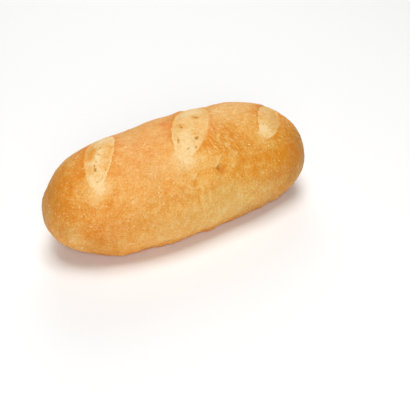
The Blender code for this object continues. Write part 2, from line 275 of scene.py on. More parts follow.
class Cut:
    """One cut across the crown, a lens seen from above, with the burst crumb swelling out of it.

    front and back are its tips, tan is how brown the crumb has baked, and lip_brown_and_shade how much darker
    the crust is beside each lip, partly browner crust and partly painted shade. pores lists the open bubbles:
    x, y, half length, half width and depth, and the slant of the length in degrees. seed scatters the small
    ones. Of the lengths, left and right say how far the lips stand from the line between the tips, step and
    sill how far the crumb lies below each lip, swell how far it rises between them, ear how far the left lip
    has lifted and wander how far the lips wander. The crumb takes on the crust's tone over soft at the right
    lip, and over four times soft at the tips. All are given in millimetres.
    """

    def __init__(self, name, front, back, tan, lip_brown_and_shade, pores, seed, **lengths):
        self.name = name
        self.front = np.array(front) * MM
        run = np.array(back) * MM - self.front
        self.half_length = np.hypot(*run) / 2.0
        self.along = run / np.hypot(*run)
        self.tan = tan
        self.lip_brown_and_shade = lip_brown_and_shade
        self.pores = pores
        self.seed = seed
        for label, length in lengths.items():
            setattr(self, label, length * MM)

    def middle(self):
        """The point half-way between the tips."""
        return self.front + self.along * self.half_length

    def place(self, x, y):
        """Where points lie in the lens: from -1 to 1 along it, and how far inside each lip."""
        run_x = x - self.front[0]
        run_y = y - self.front[1]
        along = (run_x * self.along[0] + run_y * self.along[1]) / self.half_length - 1.0
        across = run_x * self.along[1] - run_y * self.along[0]
        width = np.clip(1.0 - along**2, 0.0, None) ** CUT_ROUNDNESS
        overrun = np.clip(np.abs(along) - 1.0, 0.0, None) * self.half_length
        return along, across + self.left * width - overrun, self.right * width - across - overrun

    def depth_inside(self, x, y):
        """How far points lie inside the lens, negative outside it."""
        _, from_left, from_right = self.place(x, y)
        return np.minimum(from_left, from_right)

    def rough_place(self, x, y):
        """As place, with lips that wander from the lens by waves of three lengths along it."""
        along, from_left, from_right = self.place(x, y)
        run = along * self.half_length / MM
        amount = self.wander * np.clip(1.0 - along**2, 0.0, 1.0)
        left = waves(run, (1.0, 2.9, self.step / MM), (0.6, 1.25, 0.0), (0.4, 0.62, 0.0))
        right = waves(run, (1.0, 3.3, self.right / MM), (0.6, 1.4, 1.0), (0.4, 0.7, 0.0))
        return along, from_left + amount * left, from_right + amount * right

    def torn(self, along):
        """How far the left lip has torn open along the cut: a little in front and fully towards the back."""
        return FRONT_TEAR + (1.0 - FRONT_TEAR) * smooth_step((along - TEAR_START) / TEAR_SPAN)

    def crumb_height(self, x, y):
        """The crumb's height: a step down at the left lip, a sill at the right, and a parabola between."""
        along, from_left, from_right = self.rough_place(x, y)
        fade = np.clip(1.0 - along**2, 0.0, 1.0)
        share = np.clip(from_left / np.maximum(from_left + from_right, LIP_WIDTH), 0.0, 1.0)
        floor = (self.step * self.torn(along) * (1.0 - share) + self.sill * share) * fade**STEP_FADE
        return self.swell * 4.0 * share * (1.0 - share) * fade - floor

    def crust_height(self, x, y):
        """The crust's height: the lifted ear outside the lens, and the cavity under the crumb inside it.

        The ear is a bell beside the left lip, as ragged along the cut as its waves make it.
        """
        along, from_left, from_right = self.rough_place(x, y)
        fade = np.clip(1.0 - along**2, 0.0, 1.0)
        run = along * self.half_length / MM
        ragged = 1.0 + waves(run, (0.22, 1.1, 0.0), (0.16, 0.53, 2.0))
        opening = smooth_step(from_left / LIP_WIDTH + 0.5) * smooth_step(from_right / SHOULDER_WIDTH + 0.5)
        cavity = CAVITY_DEPTH * smooth_step(np.minimum(from_left, from_right) / CAVITY_SHORE)
        ear = self.ear * self.torn(along) * ragged * bell(from_left / EAR_REACH) * fade
        return opening * (self.crumb_height(x, y) - cavity) + (1.0 - opening) * ear


LEFT_PORES = (
    (-79.0, 7.4, 2.0, 1.0, 1.6, 20), (-84.8, -0.8, 1.0, 0.9, 1.6, 60), (-91.2, -7.6, 1.3, 0.7, 0.9, 80),
    (-96.8, -15.6, 2.3, 1.0, 1.1, 65), (-94.9, -11.0, 1.2, 0.6, 1.0, 60), (-63.9, 15.0, 1.2, 0.6, 0.9, 0),
    (-67.9, 2.6, 0.8, 0.7, 1.0, 0), (-100.6, -27.4, 1.7, 0.4, 0.5, 10), (-95.3, -26.8, 1.5, 0.4, 0.5, 15),
    (-89.0, -24.3, 1.3, 0.4, 0.4, 40),
)
MIDDLE_PORES = (
    (30.8, 7.2, 2.6, 1.8, 1.8, -35), (29.6, 11.6, 1.6, 0.9, 1.0, -35), (6.3, -2.3, 1.7, 1.3, 1.9, 75),
    (7.6, 1.4, 1.3, 0.9, 0.9, 60), (9.1, -25.3, 2.0, 1.2, 1.5, 30), (11.5, -20.5, 0.9, 0.7, 0.7, 0),
    (-8.9, -20.5, 4.4, 0.8, 0.7, 62), (-6.6, -33.8, 2.0, 0.7, 0.7, 15), (2.4, -34.9, 1.6, 0.7, 0.8, 35),
    (15.1, -19.0, 0.8, 0.6, 0.6, 0),
)
RIGHT_PORES = (
    (103.0, -16.0, 0.9, 0.7, 0.8, 0), (108.0, -10.0, 0.8, 0.5, 0.5, 30), (117.0, -2.0, 1.0, 0.6, 0.5, 40),
)
CUTS = (
    Cut("crumb_left", front=(-105.5, -31.5), back=(-55.0, 45.0), left=13.8, right=14.3,
        step=1.1, sill=0.7, swell=1.0, ear=0.3, tan=0.27, soft=0.6, lip_brown_and_shade=(0.20, 0.22), wander=0.15,
        pores=LEFT_PORES, seed=41),
    Cut("crumb_middle", front=(-17.5, -40.5), back=(56.0, 52.0), left=15.3, right=22.8,
        step=1.0, sill=0.6, swell=1.9, ear=1.4, tan=0.27, soft=3.0, lip_brown_and_shade=(0.22, 0.14), wander=0.40,
        pores=MIDDLE_PORES, seed=43),
    Cut("crumb_right", front=(77.0, -45.0), back=(136.0, 20.0), left=7.8, right=17.0,
        step=1.2, sill=0.6, swell=1.1, ear=0.4, tan=0.31, soft=1.5, lip_brown_and_shade=(0.10, 0.14), wander=0.45,
        pores=RIGHT_PORES, seed=47),
)

# How brown the crust has baked in general, how much browner its foot and its underside are, and where the
# oven has browned it more or less than elsewhere or shade is painted on it: x, y, z, reach in millimetres,
# and by how much. The painted shade lies beside the right cut's left lip, in the fold's hollow and at its
# pit, and under the left end of the fold's lip.
BASE_TONE = 0.515
FOOT_TONE = 0.55
FOOT_TONE_REACH = 11 * MM
FOOT_RAGGEDNESS = 0.7
UNDERSIDE_TONE = 0.10
BROWNED_AND_SHADED = (
    (-130, 0, 75, 24, 0.32), (-140, 2, 66, 12, -0.16), (-128, -18, 66, 18, 0.15), (-135, -21, 60, 10, 0.14),
    (-118, -35, 66, 9, 0.14), (-113, -43, 32, 15, 0.12), (-121, -38, 46, 8, 0.12), (-99, 3, 91, 8, 0.24),
    (-90, 18, 92, 11, 0.24), (-108, -9, 88, 9, 0.20), (-100, -30, 83, 8, -0.40), (-108, -32, 79, 9, -0.16),
    (-84, -26, 90, 8, 0.12), (-99, -45, 66, 9, 0.17), (-91, -52, 50, 13, 0.08), (-65, -61, 49, 10, 0.13),
    (-44, -61, 61, 12, 0.09), (-50, -41, 84, 24, -0.12), (-36, 13, 94, 12, 0.07), (6, 23, 95, 5, 0.32),
    (0, 15, 96, 5, 0.42), (-5, 6, 97, 4, 0.32), (-3, 14, 96, 10, 0.10), (-14, -13, 97, 5, 0.14),
    (-17, -45, 83, 6, -0.16), (-14, -38, 88, 8, -0.40), (-9, -45, 84, 8, -0.28), (-26, -40, 86, 14, -0.18),
    (26, -24, 94, 7, 0.24), (14, -36, 90, 7, 0.30), (19, -46, 85, 7, 0.22), (45, -14, 94, 12, 0.12),
    (45, -33, 88, 14, 0.26), (33, -24, 93, 8, 0.10), (60, -34, 85, 9, 0.12), (35, -61, 69, 13, 0.24),
    (58, -61, 68, 18, 0.22), (86, -61, 61, 20, 0.24), (110, -52, 58, 20, 0.34), (120, -36, 72, 18, 0.14),
    # The last two patches of the next line are painted shade beside the right cut's left lip.
    (102, -64, 41, 12, 0.16), (85, -65, 34, 12, 0.10), (97, -6, 88, 6, 0.30), (112, 9, 85, 6, 0.30),
    # The last two patches of the next line are painted shade in the fold's hollow.
    (79, -42, 82, 5, -0.22), (75, -48, 79, 5, -0.20), (14, -59, 72, 4, 0.26), (20, -58, 75, 4, 0.22),
    # Of the next line, the first three are painted shade in the fold's hollow and at its pit, the last two
    # under the left end of the fold's lip.
    (24, -54, 78, 4, 0.18), (12, -57, 75, 3, 0.14), (-17, -59, 70, 3, 0.32), (-19, -61, 66, 3, 0.30),
    (110, -57, 57, 4, 0.22), (98, -56, 66, 4, 0.16), (118, -52, 50, 6, 0.12), (129, -12, 74, 5, 0.26),
    (50, -47, 80, 8, 0.12), (30, -55, 77, 6, -0.10), (-100, -30, 84, 9, -0.10), (-106, -37, 77, 9, -0.14),
    (62, 4, 92, 24, -0.14), (92, 22, 89, 12, -0.12), (-60, 1, 98, 6, 0.14), (3, -62, 62, 14, 0.06),
    (24, -44, 87, 7, 0.26), (-48, -55, 72, 7, 0.12), (96, -45, 79, 6, 0.22), (27, -64, 64, 7, 0.12),
    (41, -69, 45, 9, 0.12), (102, -63, 36, 9, 0.16), (7, -69, 42, 9, 0.08), (-61, -52, 76, 7, -0.07),
    (-16, -55, 76, 6, -0.07), (79, -67, 47, 8, -0.07), (81, -63, 61, 7, -0.07), (-136, -24, 43, 8, 0.08),
    (-125, -33, 59, 6, 0.06), (88, -54, 71, 7, -0.10), (59, -68, 54, 7, -0.10), (-14, -4, 97, 6, 0.18),
    (-80, -57, 54, 7, -0.10), (-68, -61, 52, 6, 0.10), (-50, -11, 97, 6, 0.10), (-106, -46, 27, 7, 0.08),
    (-118, -24, 81, 7, -0.10), (20, -68, 33, 34, -0.18), (-10, -67, 30, 26, -0.08),
    (-52, -64, 28, 26, -0.14), (-101, -43, 69, 5, 0.18), (-120, -35, 64, 7, 0.14), (-115, -43, 51, 6, 0.20),
    (-115, -43, 38, 8, 0.16), (-89, -39, 80, 5, 0.12), (-84, -52, 64, 5, 0.10), (-89, -54, 41, 6, 0.12),
    (-131, -30, 40, 7, -0.14), (-125, -35, 32, 6, -0.12),
)

# The same for the crumb in the cuts, and how much paler it is along the middle, at the right lip and towards
# the front tip: where, over what reach and by how much. The pale line at the right lip is partly paler crumb
# and partly a painted highlight. The left lip browns it over a fixed reach, and the tips over so many times
# the reach of the right lip.
MIDDLE_PALE = (0.40, 0.16, 0.08)
LIP_PALE_AND_HIGHLIGHT = (1.3 * MM, 0.9 * MM, 0.16)
TIP_PALE = (-0.1, 0.7, 0.18)
LEFT_LIP_SOFTNESS = 0.8 * MM
TIP_SOFTNESS = 4.0
CRUMB_PATCHES = (
    (-62, 26, 93, 10, -0.30), (-68, 16, 95, 7, -0.20), (-80, 5, 96, 4, -0.34), (-86, -2, 95, 4, -0.30),
    (-92, -9, 93, 4, -0.26), (-68, 2, 96, 7, 0.16), (-78, -9, 95, 6, 0.20), (-86, -19, 92, 6, 0.20),
    (-86, 10, 95, 5, 0.36), (-93, 2, 93, 5, 0.36), (-88, 5, 95, 4, 0.26), (-100, -12, 90, 6, 0.20),
    # The last two patches of the next line pale the back of the middle cut: partly paler crumb, partly
    # painted light.
    (-101, -20, 88, 5, 0.10), (-98, -30, 85, 5, -0.14), (37, 22, 94, 9, -0.32), (52, 34, 88, 10, -0.15),
    (22, 24, 94, 9, -0.12), (48, 8, 93, 8, 0.12), (9, 2, 96, 6, 0.12), (33, 11, 95, 5, 0.14),
    (12, -21, 95, 6, 0.10), (-8, -16, 95, 5, 0.06), (-8, -33, 91, 9, -0.06), (103, -28, 83, 7, 0.10),
    (97, -38, 82, 5, 0.22), (120, -14, 77, 7, 0.10), (112, 0, 83, 7, -0.20), (86, -35, 85, 4, -0.36),
)

# Where shade is painted on the crust: towards both ends, low along the front and in the fold's hollow. Then
# where it is ruddier or yellower.
PAINTED_SHADE_PATCHES = (
    (132, -44, 40, 38, 0.24), (-138, -2, 66, 22, 0.14), (-122, 26, 75, 24, 0.08), (-113, -43, 25, 16, 0.12),
    (-136, -24, 43, 9, 0.08), (102, -63, 36, 10, 0.08), (14, -58, 75, 4, 0.20), (40, -64, 14, 14, 0.12),
    (62, -62, 12, 14, 0.14), (85, -58, 10, 14, 0.12),
)
RUDDY = (
    (-50, -25, 88, 38, 0.080), (-104, -46, 48, 18, 0.060), (0, 10, 95, 10, 0.070), (26, -22, 94, 8, 0.040),
    (14, -58, 73, 5, 0.050), (100, -52, 60, 28, -0.050), (108, -54, 65, 9, 0.110),
    (102, -63, 36, 11, -0.060), (20, -66, 40, 55, -0.065), (85, -58, 55, 42, -0.030),
)

# Where the crust has wrinkled, beside the middle cut.
WRINKLED = (
    (34, -26, 91, 17, 1.0), (22, -42, 86, 13, 0.8), (46, -44, 82, 15, 0.6),
)

# Hairline cracks in the crust, each from one place to another, and dark specks: x, y, z, radius in
# millimetres and how dark.
CRACKS = (
    ((-16.7, -37.9, 88.2), (-18.4, -42.0, 85.2)),
    ((-18.4, -42.0, 85.2), (-20.1, -46.1, 82.4)),
    ((-20.1, -46.1, 82.4), (-22.0, -50.1, 79.6)),
    ((-32.7, -49.8, 78.9), (-26.7, -51.7, 77.9)),
    ((-110.4, -26.3, 83.8), (-114.6, -26.9, 80.9)),
    ((-114.6, -26.9, 80.9), (-119.4, -27.2, 77.0)),
    ((-94.4, -26.7, 88.8), (-99.2, -28.1, 87.1)),
    ((-99.2, -28.1, 87.1), (-102.8, -27.4, 86.4)),
)
CRACK_SHADE = 0.28
SPECKS = (
    (-119.3, -34.3, 66.6, 1.1, 0.7), (25.8, -68.1, 33.9, 1.0, 0.6), (-65.1, -55.1, 14.0, 1.2, 0.7),
    (62.9, -58.9, 8.9, 1.0, 0.6), (112.7, -47.8, 68.9, 1.6, 0.4), (103.7, -60.0, 57.3, 1.4, 0.4),
)


def smooth_step(value):
    """0 below 0, 1 above 1, and an even S between."""
    value = np.clip(value, 0.0, 1.0)
    return value * value * (3.0 - 2.0 * value)


def bell(value):
    """e to the minus value squared: 1 at 0, falling evenly to either side."""
    return np.exp(-(value**2))


def waves(run, *each):
    """Sine waves over a run in millimetres: the height, the length over 2 pi and the phase of each."""
    return sum(height * np.sin(run / length + phase) for height, length, phase in each)


def soft_floor(height, rounding):
    """Heights cut off flat at 0, with a parabola that rounds the edge of the cut."""
    curve = (height + rounding) ** 2 / (4.0 * rounding)
    return np.where(height > rounding, height, np.where(height < -rounding, 0.0, curve))


def gradient_noise(points, cell, seed):
    """Smooth noise of about -1 to 1, with lumps of the cell's size in millimetres.

    Every corner of a lattice holds a seeded unit gradient. A point takes the eight ramps of its cell's
    corners, weighted by a quintic S of its place in the cell.
    """
    draw = np.random.default_rng(seed)
    order = draw.permutation(LATTICE)
    gradients = draw.normal(size=(LATTICE, 3))
    gradients /= np.linalg.norm(gradients, axis=1, keepdims=True)
    place = points / (np.array(cell) * MM)
    corner = np.floor(place).astype(int)
    inside = place - corner
    weight = inside**3 * (inside * (inside * 6.0 - 15.0) + 10.0)
    total = np.zeros(points.shape[:-1])
    for offset in np.ndindex(2, 2, 2):
        key = corner + offset
        index = order[(order[(order[key[..., 0] % LATTICE] + key[..., 1]) % LATTICE] + key[..., 2]) % LATTICE]
        ramp = np.sum(gradients[index] * (inside - offset), axis=-1)
        total += ramp * np.prod(np.where(offset, weight, 1.0 - weight), axis=-1)
    return 1.5 * total


def taper(station, roundness, least=0.0):
    """How much of the middle's size is left at a station: a superellipse with one power for each end."""
    power = np.where(station < 0.0, *roundness)
    return np.clip(1.0 - np.abs(station) ** power, least, None) ** (1.0 / power)


def body(turn, angle):
    """The loaf without relief. turn goes from 0 at the left end to pi, angle round the section from +Y.

    A station's half width and height are those of superellipses in plan and in profile, and its section is
    a superellipse again, whose underside would reach below the base and is cut off flat there.
    """
    station = -np.cos(turn)
    half_width = WIDTH / 2.0 * taper(station, PLAN_ROUNDNESS)
    rise = taper(station, PROFILE_ROUNDNESS)
    upper = np.sin(angle) > 0.0
    roundness = np.where(upper, CROWN_ROUNDNESS, UNDERSIDE_ROUNDNESS)
    sideways = np.sign(np.cos(angle)) * np.abs(np.cos(angle)) ** (2.0 / roundness)
    upwards = np.abs(np.sin(angle)) ** (2.0 / roundness)
    x = station * LENGTH / 2.0
    y = half_width * sideways
    crown = (HEIGHT - BELLY_HEIGHT) * (1.0 - CROWN_FALL * station) * upwards * rise
    height = BELLY_HEIGHT + np.where(upper, crown, -UNDERSIDE_DEPTH * upwards * rise)
    wave_run = RIM_WAVE_SLANT[0] * x + RIM_WAVE_SLANT[1] * y
    wave = RIM_WAVE_HEIGHT * np.sin(2.0 * np.pi * wave_run / RIM_WAVE_LENGTH)
    height = height + np.where(upper, 0.0, wave * rise * upwards)
    return np.stack(np.broadcast_arrays(x, y, soft_floor(height, RIM_ROUNDING)), axis=-1)


def crown_place(x, y):
    """The turn and angle of the body's crown over a point of the plan, from the body's formula backwards."""
    station = np.clip(x / (LENGTH / 2.0), -1.0, 1.0)
    half_width = WIDTH / 2.0 * taper(station, PLAN_ROUNDNESS, NEARLY_NOTHING)
    sideways = np.clip(y / half_width, -1.0, 1.0)
    angle = np.arccos(np.sign(sideways) * np.abs(sideways) ** (CROWN_ROUNDNESS / 2.0))
    return np.arccos(-station), angle


def bulges(x, table):
    """The sum of bell-shaped swells along the loaf."""
    total = np.zeros_like(x)
    for middle, reach, height in table:
        total += height * MM * bell((x / MM - middle) / reach)
    return total


def swells(points):
    """Slow waves that cross the loaf in seeded directions and add up to gentle lumps."""
    draw = np.random.default_rng(SWELL_SEED)
    total = np.zeros(points.shape[:-1])
    for _ in range(SWELL_COUNT):
        direction = draw.normal(size=3)
        direction /= np.linalg.norm(direction)
        length = draw.uniform(*SWELL_LENGTHS)
        phase = draw.uniform(0.0, 2.0 * np.pi)
        total += np.sin(2.0 * np.pi * (points @ direction) / length + phase)
    return SWELL_HEIGHT * total


def curve_through(knots):
    """A smooth curve through knots given in millimetres, as a Catmull-Rom spline of short straight runs."""
    knots = np.array(knots) * MM
    padded = np.concatenate([2.0 * knots[:1] - knots[1:2], knots, 2.0 * knots[-1:] - knots[-2:-1]])
    place = np.linspace(0.0, len(knots) - 1.0, CURVE_POINTS)
    piece = np.minimum(place.astype(int), len(knots) - 2)
    share = (place - piece)[:, None]
    first, second, third, fourth = (padded[piece + offset] for offset in range(4))
    bend = 2.0 * first - 5.0 * second + 4.0 * third - fourth
    twist = 3.0 * second - first - 3.0 * third + fourth
    return second + 0.5 * ((third - first) * share + bend * share**2 + twist * share**3)


def beside_curve(knots, u, v):
    """How far places lie from a curve, positive on its left, and at what share of it they are nearest."""
    curve = curve_through(knots)
    best = np.full(u.shape, np.inf)
    side = np.zeros(u.shape)
    share = np.zeros(u.shape)
    for number, (start, end) in enumerate(zip(curve[:-1], curve[1:])):
        run = end - start
        to_u, to_v = u - start[0], v - start[1]
        on = np.clip((to_u * run[0] + to_v * run[1]) / (run @ run), 0.0, 1.0)
        away = np.hypot(to_u - on * run[0], to_v - on * run[1])
        nearer = away < best
        best = np.where(nearer, away, best)
        side = np.where(nearer, np.sign(run[0] * to_v - run[1] * to_u), side)
        share = np.where(nearer, (number + on) / (len(curve) - 1), share)
    return side * best, share


def pleats(points):
    """Soft pleats under the fold: a wave along the loaf in a bell-shaped window."""
    x, y, z = np.moveaxis(points, -1, 0)
    window = bell((x - PLEAT_X) / PLEAT_REACH) * bell((z - PLEAT_Z) / PLEAT_REACH)
    return np.where(y < 0.0, PLEAT_HEIGHT * np.cos(2.0 * np.pi * (x - PLEAT_X) / PLEAT_LENGTH) * window, 0.0)


def fold_relief(x, z):
    """The fold's height, how much darker it is than the crust round it, and how much shade is painted on its
    pit.

    The upper sheet rises in a bell along the lip. Below the lip the dough falls by the lip's depth and comes
    back by e to the minus distance. A superelliptic lobe swells under the arch, and the hollow beside it,
    the pit and the creases are bells. Shade is painted under the lip, in the creases and at the pit, and a
    highlight is painted on the lip's bead.
    """
    beside, share = beside_curve(FOLD_LIP, x, z)
    depth = np.interp(share, LIP_PLACES, LIP_DEPTHS) * MM
    strength = np.clip(depth / LIP_FULL_DEPTH, 0.0, 1.0)
    below = smooth_step(0.5 - beside / LIP_FALL)
    tuck = -depth * below * np.exp(-np.clip(-beside, 0.0, None) / TUCK_REACH)
    bead = strength * bell((beside - LIP_BEAD) / LIP_BEAD)
    across = (x - LOBE_X) / LOBE_HALF_WIDTH
    up = (z - LOBE_Z - LOBE_TILT * (x - LOBE_X)) / LOBE_HALF_HEIGHT
    radius = (np.abs(across) ** LOBE_ROUNDNESS + np.abs(up) ** LOBE_ROUNDNESS) ** (1.0 / LOBE_ROUNDNESS)
    lobe = LOBE_SWELL * np.clip(1.0 - radius**2, 0.0, None) * below
    hollow = HOLLOW_DEPTH * bell(np.hypot(x - HOLLOW_X, z - HOLLOW_Z) / HOLLOW_RADIUS) * below
    height = tuck + LIP_RISE * bead + lobe - hollow
    # Painted shade at the pit and under the lip, and a painted highlight on the lip's bead.
    pit_shade_mask = bell(np.hypot(x - PIT_X, z - PIT_Z) / PIT_RADIUS)
    brown = TUCK_SHADE_TONE * strength * below * bell(beside / TUCK_SHADE_REACH)
    brown = brown - BEAD_HIGHLIGHT * bead + PIT_SHADE_TONE * pit_shade_mask
    for knots, crease_depth in CREASES:
        away, place = beside_curve(knots, x, z)
        groove = bell(away / CREASE_REACH) * smooth_step(8.0 * place * (1.0 - place))
        height = height - crease_depth * MM * groove
        # Painted shade in the crease's groove.
        brown = brown + CREASE_SHADE_TONE * crease_depth * groove
    return height, brown, PIT_SHADE * pit_shade_mask


def fold_depth(points):
    """How far points lie inside the lens of the fold's piece, negative outside it and on the back."""
    x, y, z = np.moveaxis(points, -1, 0)
    along = np.clip((x - FOLD_X) / FOLD_HALF_LENGTH, -1.0, 1.0)
    reach = FOLD_HALF_HEIGHT * np.sqrt(1.0 - along**2)
    overrun = np.clip(np.abs(x - FOLD_X) - FOLD_HALF_LENGTH, 0.0, None)
    return reach - np.abs(z - FOLD_Z) - overrun - np.clip(y - FOLD_REAR, 0.0, None)


def foot(points):
    """How far the foot of the front spreads over what the loaf stands on, as a shift towards the front."""
    x, y, z = points[..., 0], points[..., 1], points[..., 2]
    front = smooth_step((-y - FOOT_FRONT) / FOOT_FRONT) * bell(z / FOOT_HEIGHT)
    return np.stack([np.zeros_like(x), -front * bulges(x, FOOT_SWELLS), np.zeros_like(x)], axis=-1)


def fine_relief(points, sizes, layers, **share):
    """Layers of noise added up, each as high as its size says and by its share where one is given."""
    total = np.zeros(points.shape[:-1])
    for kind, cell, seed in layers:
        noise = gradient_noise(points, cell, seed)
        if kind in FOLDED_LAYERS:
            noise = RIDGE_LEVEL - np.abs(noise)
        total += getattr(sizes, kind + "_height") * noise * share.get(kind, 1.0)
    return total


def crust_grain(points, crust):
    """The crust's fine relief: creased ends, a crinkled foot, and wrinkles beside the middle cut."""
    x, z = points[..., 0] / MM, points[..., 2] / MM
    right = smooth_step((x - RIGHT_CREASES) / CREASE_RUN)
    left = smooth_step((LEFT_CREASES - x) / CREASE_RUN)
    relief = fine_relief(
        points, crust, CRUST_LAYERS, crease=LEAST_CREASED + right + LEFT_CREASED * left,
        crinkle=bell((z - CRINKLE_MIDDLE) / CRINKLE_REACH), wrinkle=patches(points, WRINKLED))
    return relief * smooth_step(z / 2)


def nearest_cut(points):
    """How far points lie inside the nearest cut, negative outside all of them and well below the crown."""
    x, y, z = np.moveaxis(points, -1, 0)
    depth = np.max([cut.depth_inside(x, y) for cut in CUTS], axis=0)
    return depth - np.clip(BELLY_HEIGHT + CROWN_BLEND - z, 0.0, None)


def common_relief(points, cut_height):
    """How far a surface stands out from the body, given the height of its cuts on the crown."""
    x, z = points[..., 0], points[..., 2]
    crown = smooth_step((z - BELLY_HEIGHT) / CROWN_BLEND)
    above_base = smooth_step(z / BELLY_HEIGHT)
    ends = smooth_step((LENGTH / 2.0 - np.abs(x)) / END_BLEND)
    crest = smooth_step((z - CREST_FOOT) / CREST_BLEND) * bulges(x, CREST_SWELLS)
    crown = crown * (cut_height + bulges(x, CROWN_SWELLS) + crest)
    return (crown + above_base * (swells(points) + pleats(points))) * ends


def normals(turn, angle):
    """The body's outward normals, from the cross product of small steps along it and round it."""
    inner = np.clip(turn, 2.0 * NORMAL_STEP, np.pi - 2.0 * NORMAL_STEP)
    along = body(inner + NORMAL_STEP, angle) - body(inner - NORMAL_STEP, angle)
    around = body(inner, angle + NORMAL_STEP) - body(inner, angle - NORMAL_STEP)
    cross = np.cross(around, along)
    return cross / np.maximum(np.linalg.norm(cross, axis=-1, keepdims=True), 1e-12)


def crust_surface(turn, angle, crust):
    """The crust: the body, moved along its normals by the relief, with the foot spread forwards."""
    points = body(turn, angle)
    x, y = points[..., 0], points[..., 1]
    cuts = sum(cut.crust_height(x, y) for cut in CUTS)
    cavity = FOLD_CAVITY_DEPTH * smooth_step(fold_depth(points) / FOLD_SHORE)
    height = common_relief(points, cuts) + crust_grain(points, crust) - cavity
    surface = points + normals(turn, angle) * height[..., None] + foot(points)
    surface[..., 2] = np.maximum(surface[..., 2], 0.0)
    return surface


def upper_angles():
    """The rows of the upper side, spaced by the section's arc, wider on the back."""
    edges = np.linspace(0.0, np.pi, SAMPLES + 1)
    arc = np.linalg.norm(np.diff(body(np.full_like(edges, np.pi / 2.0), edges), axis=0), axis=1)
    middle = body(np.full(SAMPLES, np.pi / 2.0), (edges[1:] + edges[:-1]) / 2.0)
    density = arc * (1.0 - (1.0 - BACK_SHARE) * smooth_step(middle[:, 1] / BACK_BLEND))
    share = np.concatenate([[0.0], np.cumsum(density)]) / density.sum()
    return np.interp(np.linspace(0.0, 1.0, UPPER_ROWS + 1), share, edges)


def row_angles(turn):
    """Every row's angle at the given turns, rows first.

    Rows of the upper side keep their angle. Below it they run to the base's rim, so that one row follows
    the rim, and then across the base. Past the ends of the base the rim's row keeps a steady angle.
    """
    upper = np.broadcast_to(upper_angles()[:, None], (UPPER_ROWS + 1, len(turn)))
    rise = taper(-np.cos(turn), PROFILE_ROUNDNESS, NEARLY_NOTHING)
    cut_off = np.clip(BELLY_HEIGHT / (UNDERSIDE_DEPTH * rise), 0.0, 1.0)
    rim = np.minimum(np.arcsin(cut_off ** (UNDERSIDE_ROUNDNESS / 2.0)), WIDEST_RIM_ANGLE)
    front = np.arange(1, FRONT_ROWS + 1)[:, None] / FRONT_ROWS * rim
    across = rim + np.arange(1, BASE_ROWS)[:, None] / BASE_ROWS * (np.pi - 2.0 * rim)
    back = np.arange(BACK_ROWS, 0, -1)[:, None] / BACK_ROWS * rim
    return np.concatenate([upper, np.pi + front, np.pi + across, 2.0 * np.pi - back])


def lip_places(cut, points, along):
    """Where each row crosses a cut's two lips, as a distance along the row.

    A row that misses the cut gets a narrow pair at the place where it passes closest, and the weight that
    comes with the pair falls to nothing as rows get further from the cut.
    """
    x, y, z = np.moveaxis(points, -1, 0)
    depth = cut.depth_inside(x, y) - np.clip(CROWN_FOOT - z, 0.0, None)
    rows = np.arange(len(depth))
    closest = depth.argmax(axis=1)
    inside = depth > 0.0
    first = np.where(inside.any(axis=1), inside.argmax(axis=1), closest)
    last = np.where(inside.any(axis=1), inside.shape[1] - 1 - inside[:, ::-1].argmax(axis=1), closest)
    middle = (along[rows, first] + along[rows, last]) / 2.0
    half = np.maximum((along[rows, last] - along[rows, first]) / 2.0, CUT_HALF_SPAN)
    weight = smooth_step(1.0 + depth[rows, closest] / LIP_RELEASE)
    return middle - half, middle + half, weight


def crust_grid():
    """The turns and angles of the crust's points, row by row, with rings evenly between the lips."""
    edges = np.linspace(0.0, np.pi, SAMPLES + 1)
    angles = row_angles(edges)
    points = body(edges, angles)
    steps = np.linalg.norm(np.diff(points, axis=1), axis=2)
    along = np.concatenate([np.zeros((len(points), 1)), np.cumsum(steps, axis=1)], axis=1)
    knots = [np.zeros(len(points))]
    counts = [RINGS_BETWEEN[0]]
    for cut, inside, between in zip(CUTS, RINGS_INSIDE, RINGS_BETWEEN[1:]):
        first, last, weight = lip_places(cut, points, along)
        home = (cut.middle()[0] / LENGTH + 0.5) * along[:, -1]
        spread = SPARE_SPREAD * along[:, -1]
        first = weight * first + (1.0 - weight) * (home - spread)
        last = weight * last + (1.0 - weight) * (home + spread)
        knots += [first - LIP_HALF_SPAN, first + LIP_HALF_SPAN, last - LIP_HALF_SPAN, last + LIP_HALF_SPAN]
        counts += [RINGS_ON_LIP, inside, RINGS_ON_LIP, between]
    knots.append(along[:, -1])
    at_knots = np.concatenate([[0], np.cumsum(counts)])
    rings = np.arange(at_knots[-1] + 1)
    places = np.array([np.interp(rings, at_knots, row) for row in np.stack(knots, axis=1)])
    turn = np.array([np.interp(place, row, edges) for place, row in zip(places, along)])
    angle = np.array([np.interp(turns, edges, row) for turns, row in zip(turn, angles)])
    return turn, angle


class Fit:
    """The slight stretch that fits the dressed crust into the solid's box, just under the swollen crumb."""

    def __init__(self, surface):
        self.low = surface.min(axis=(0, 1))
        self.share = (HIGH - CRUMB_CLEARANCE - LOW) / (surface.max(axis=(0, 1)) - self.low)

    def __call__(self, points):
        return (points - self.low) * self.share + LOW


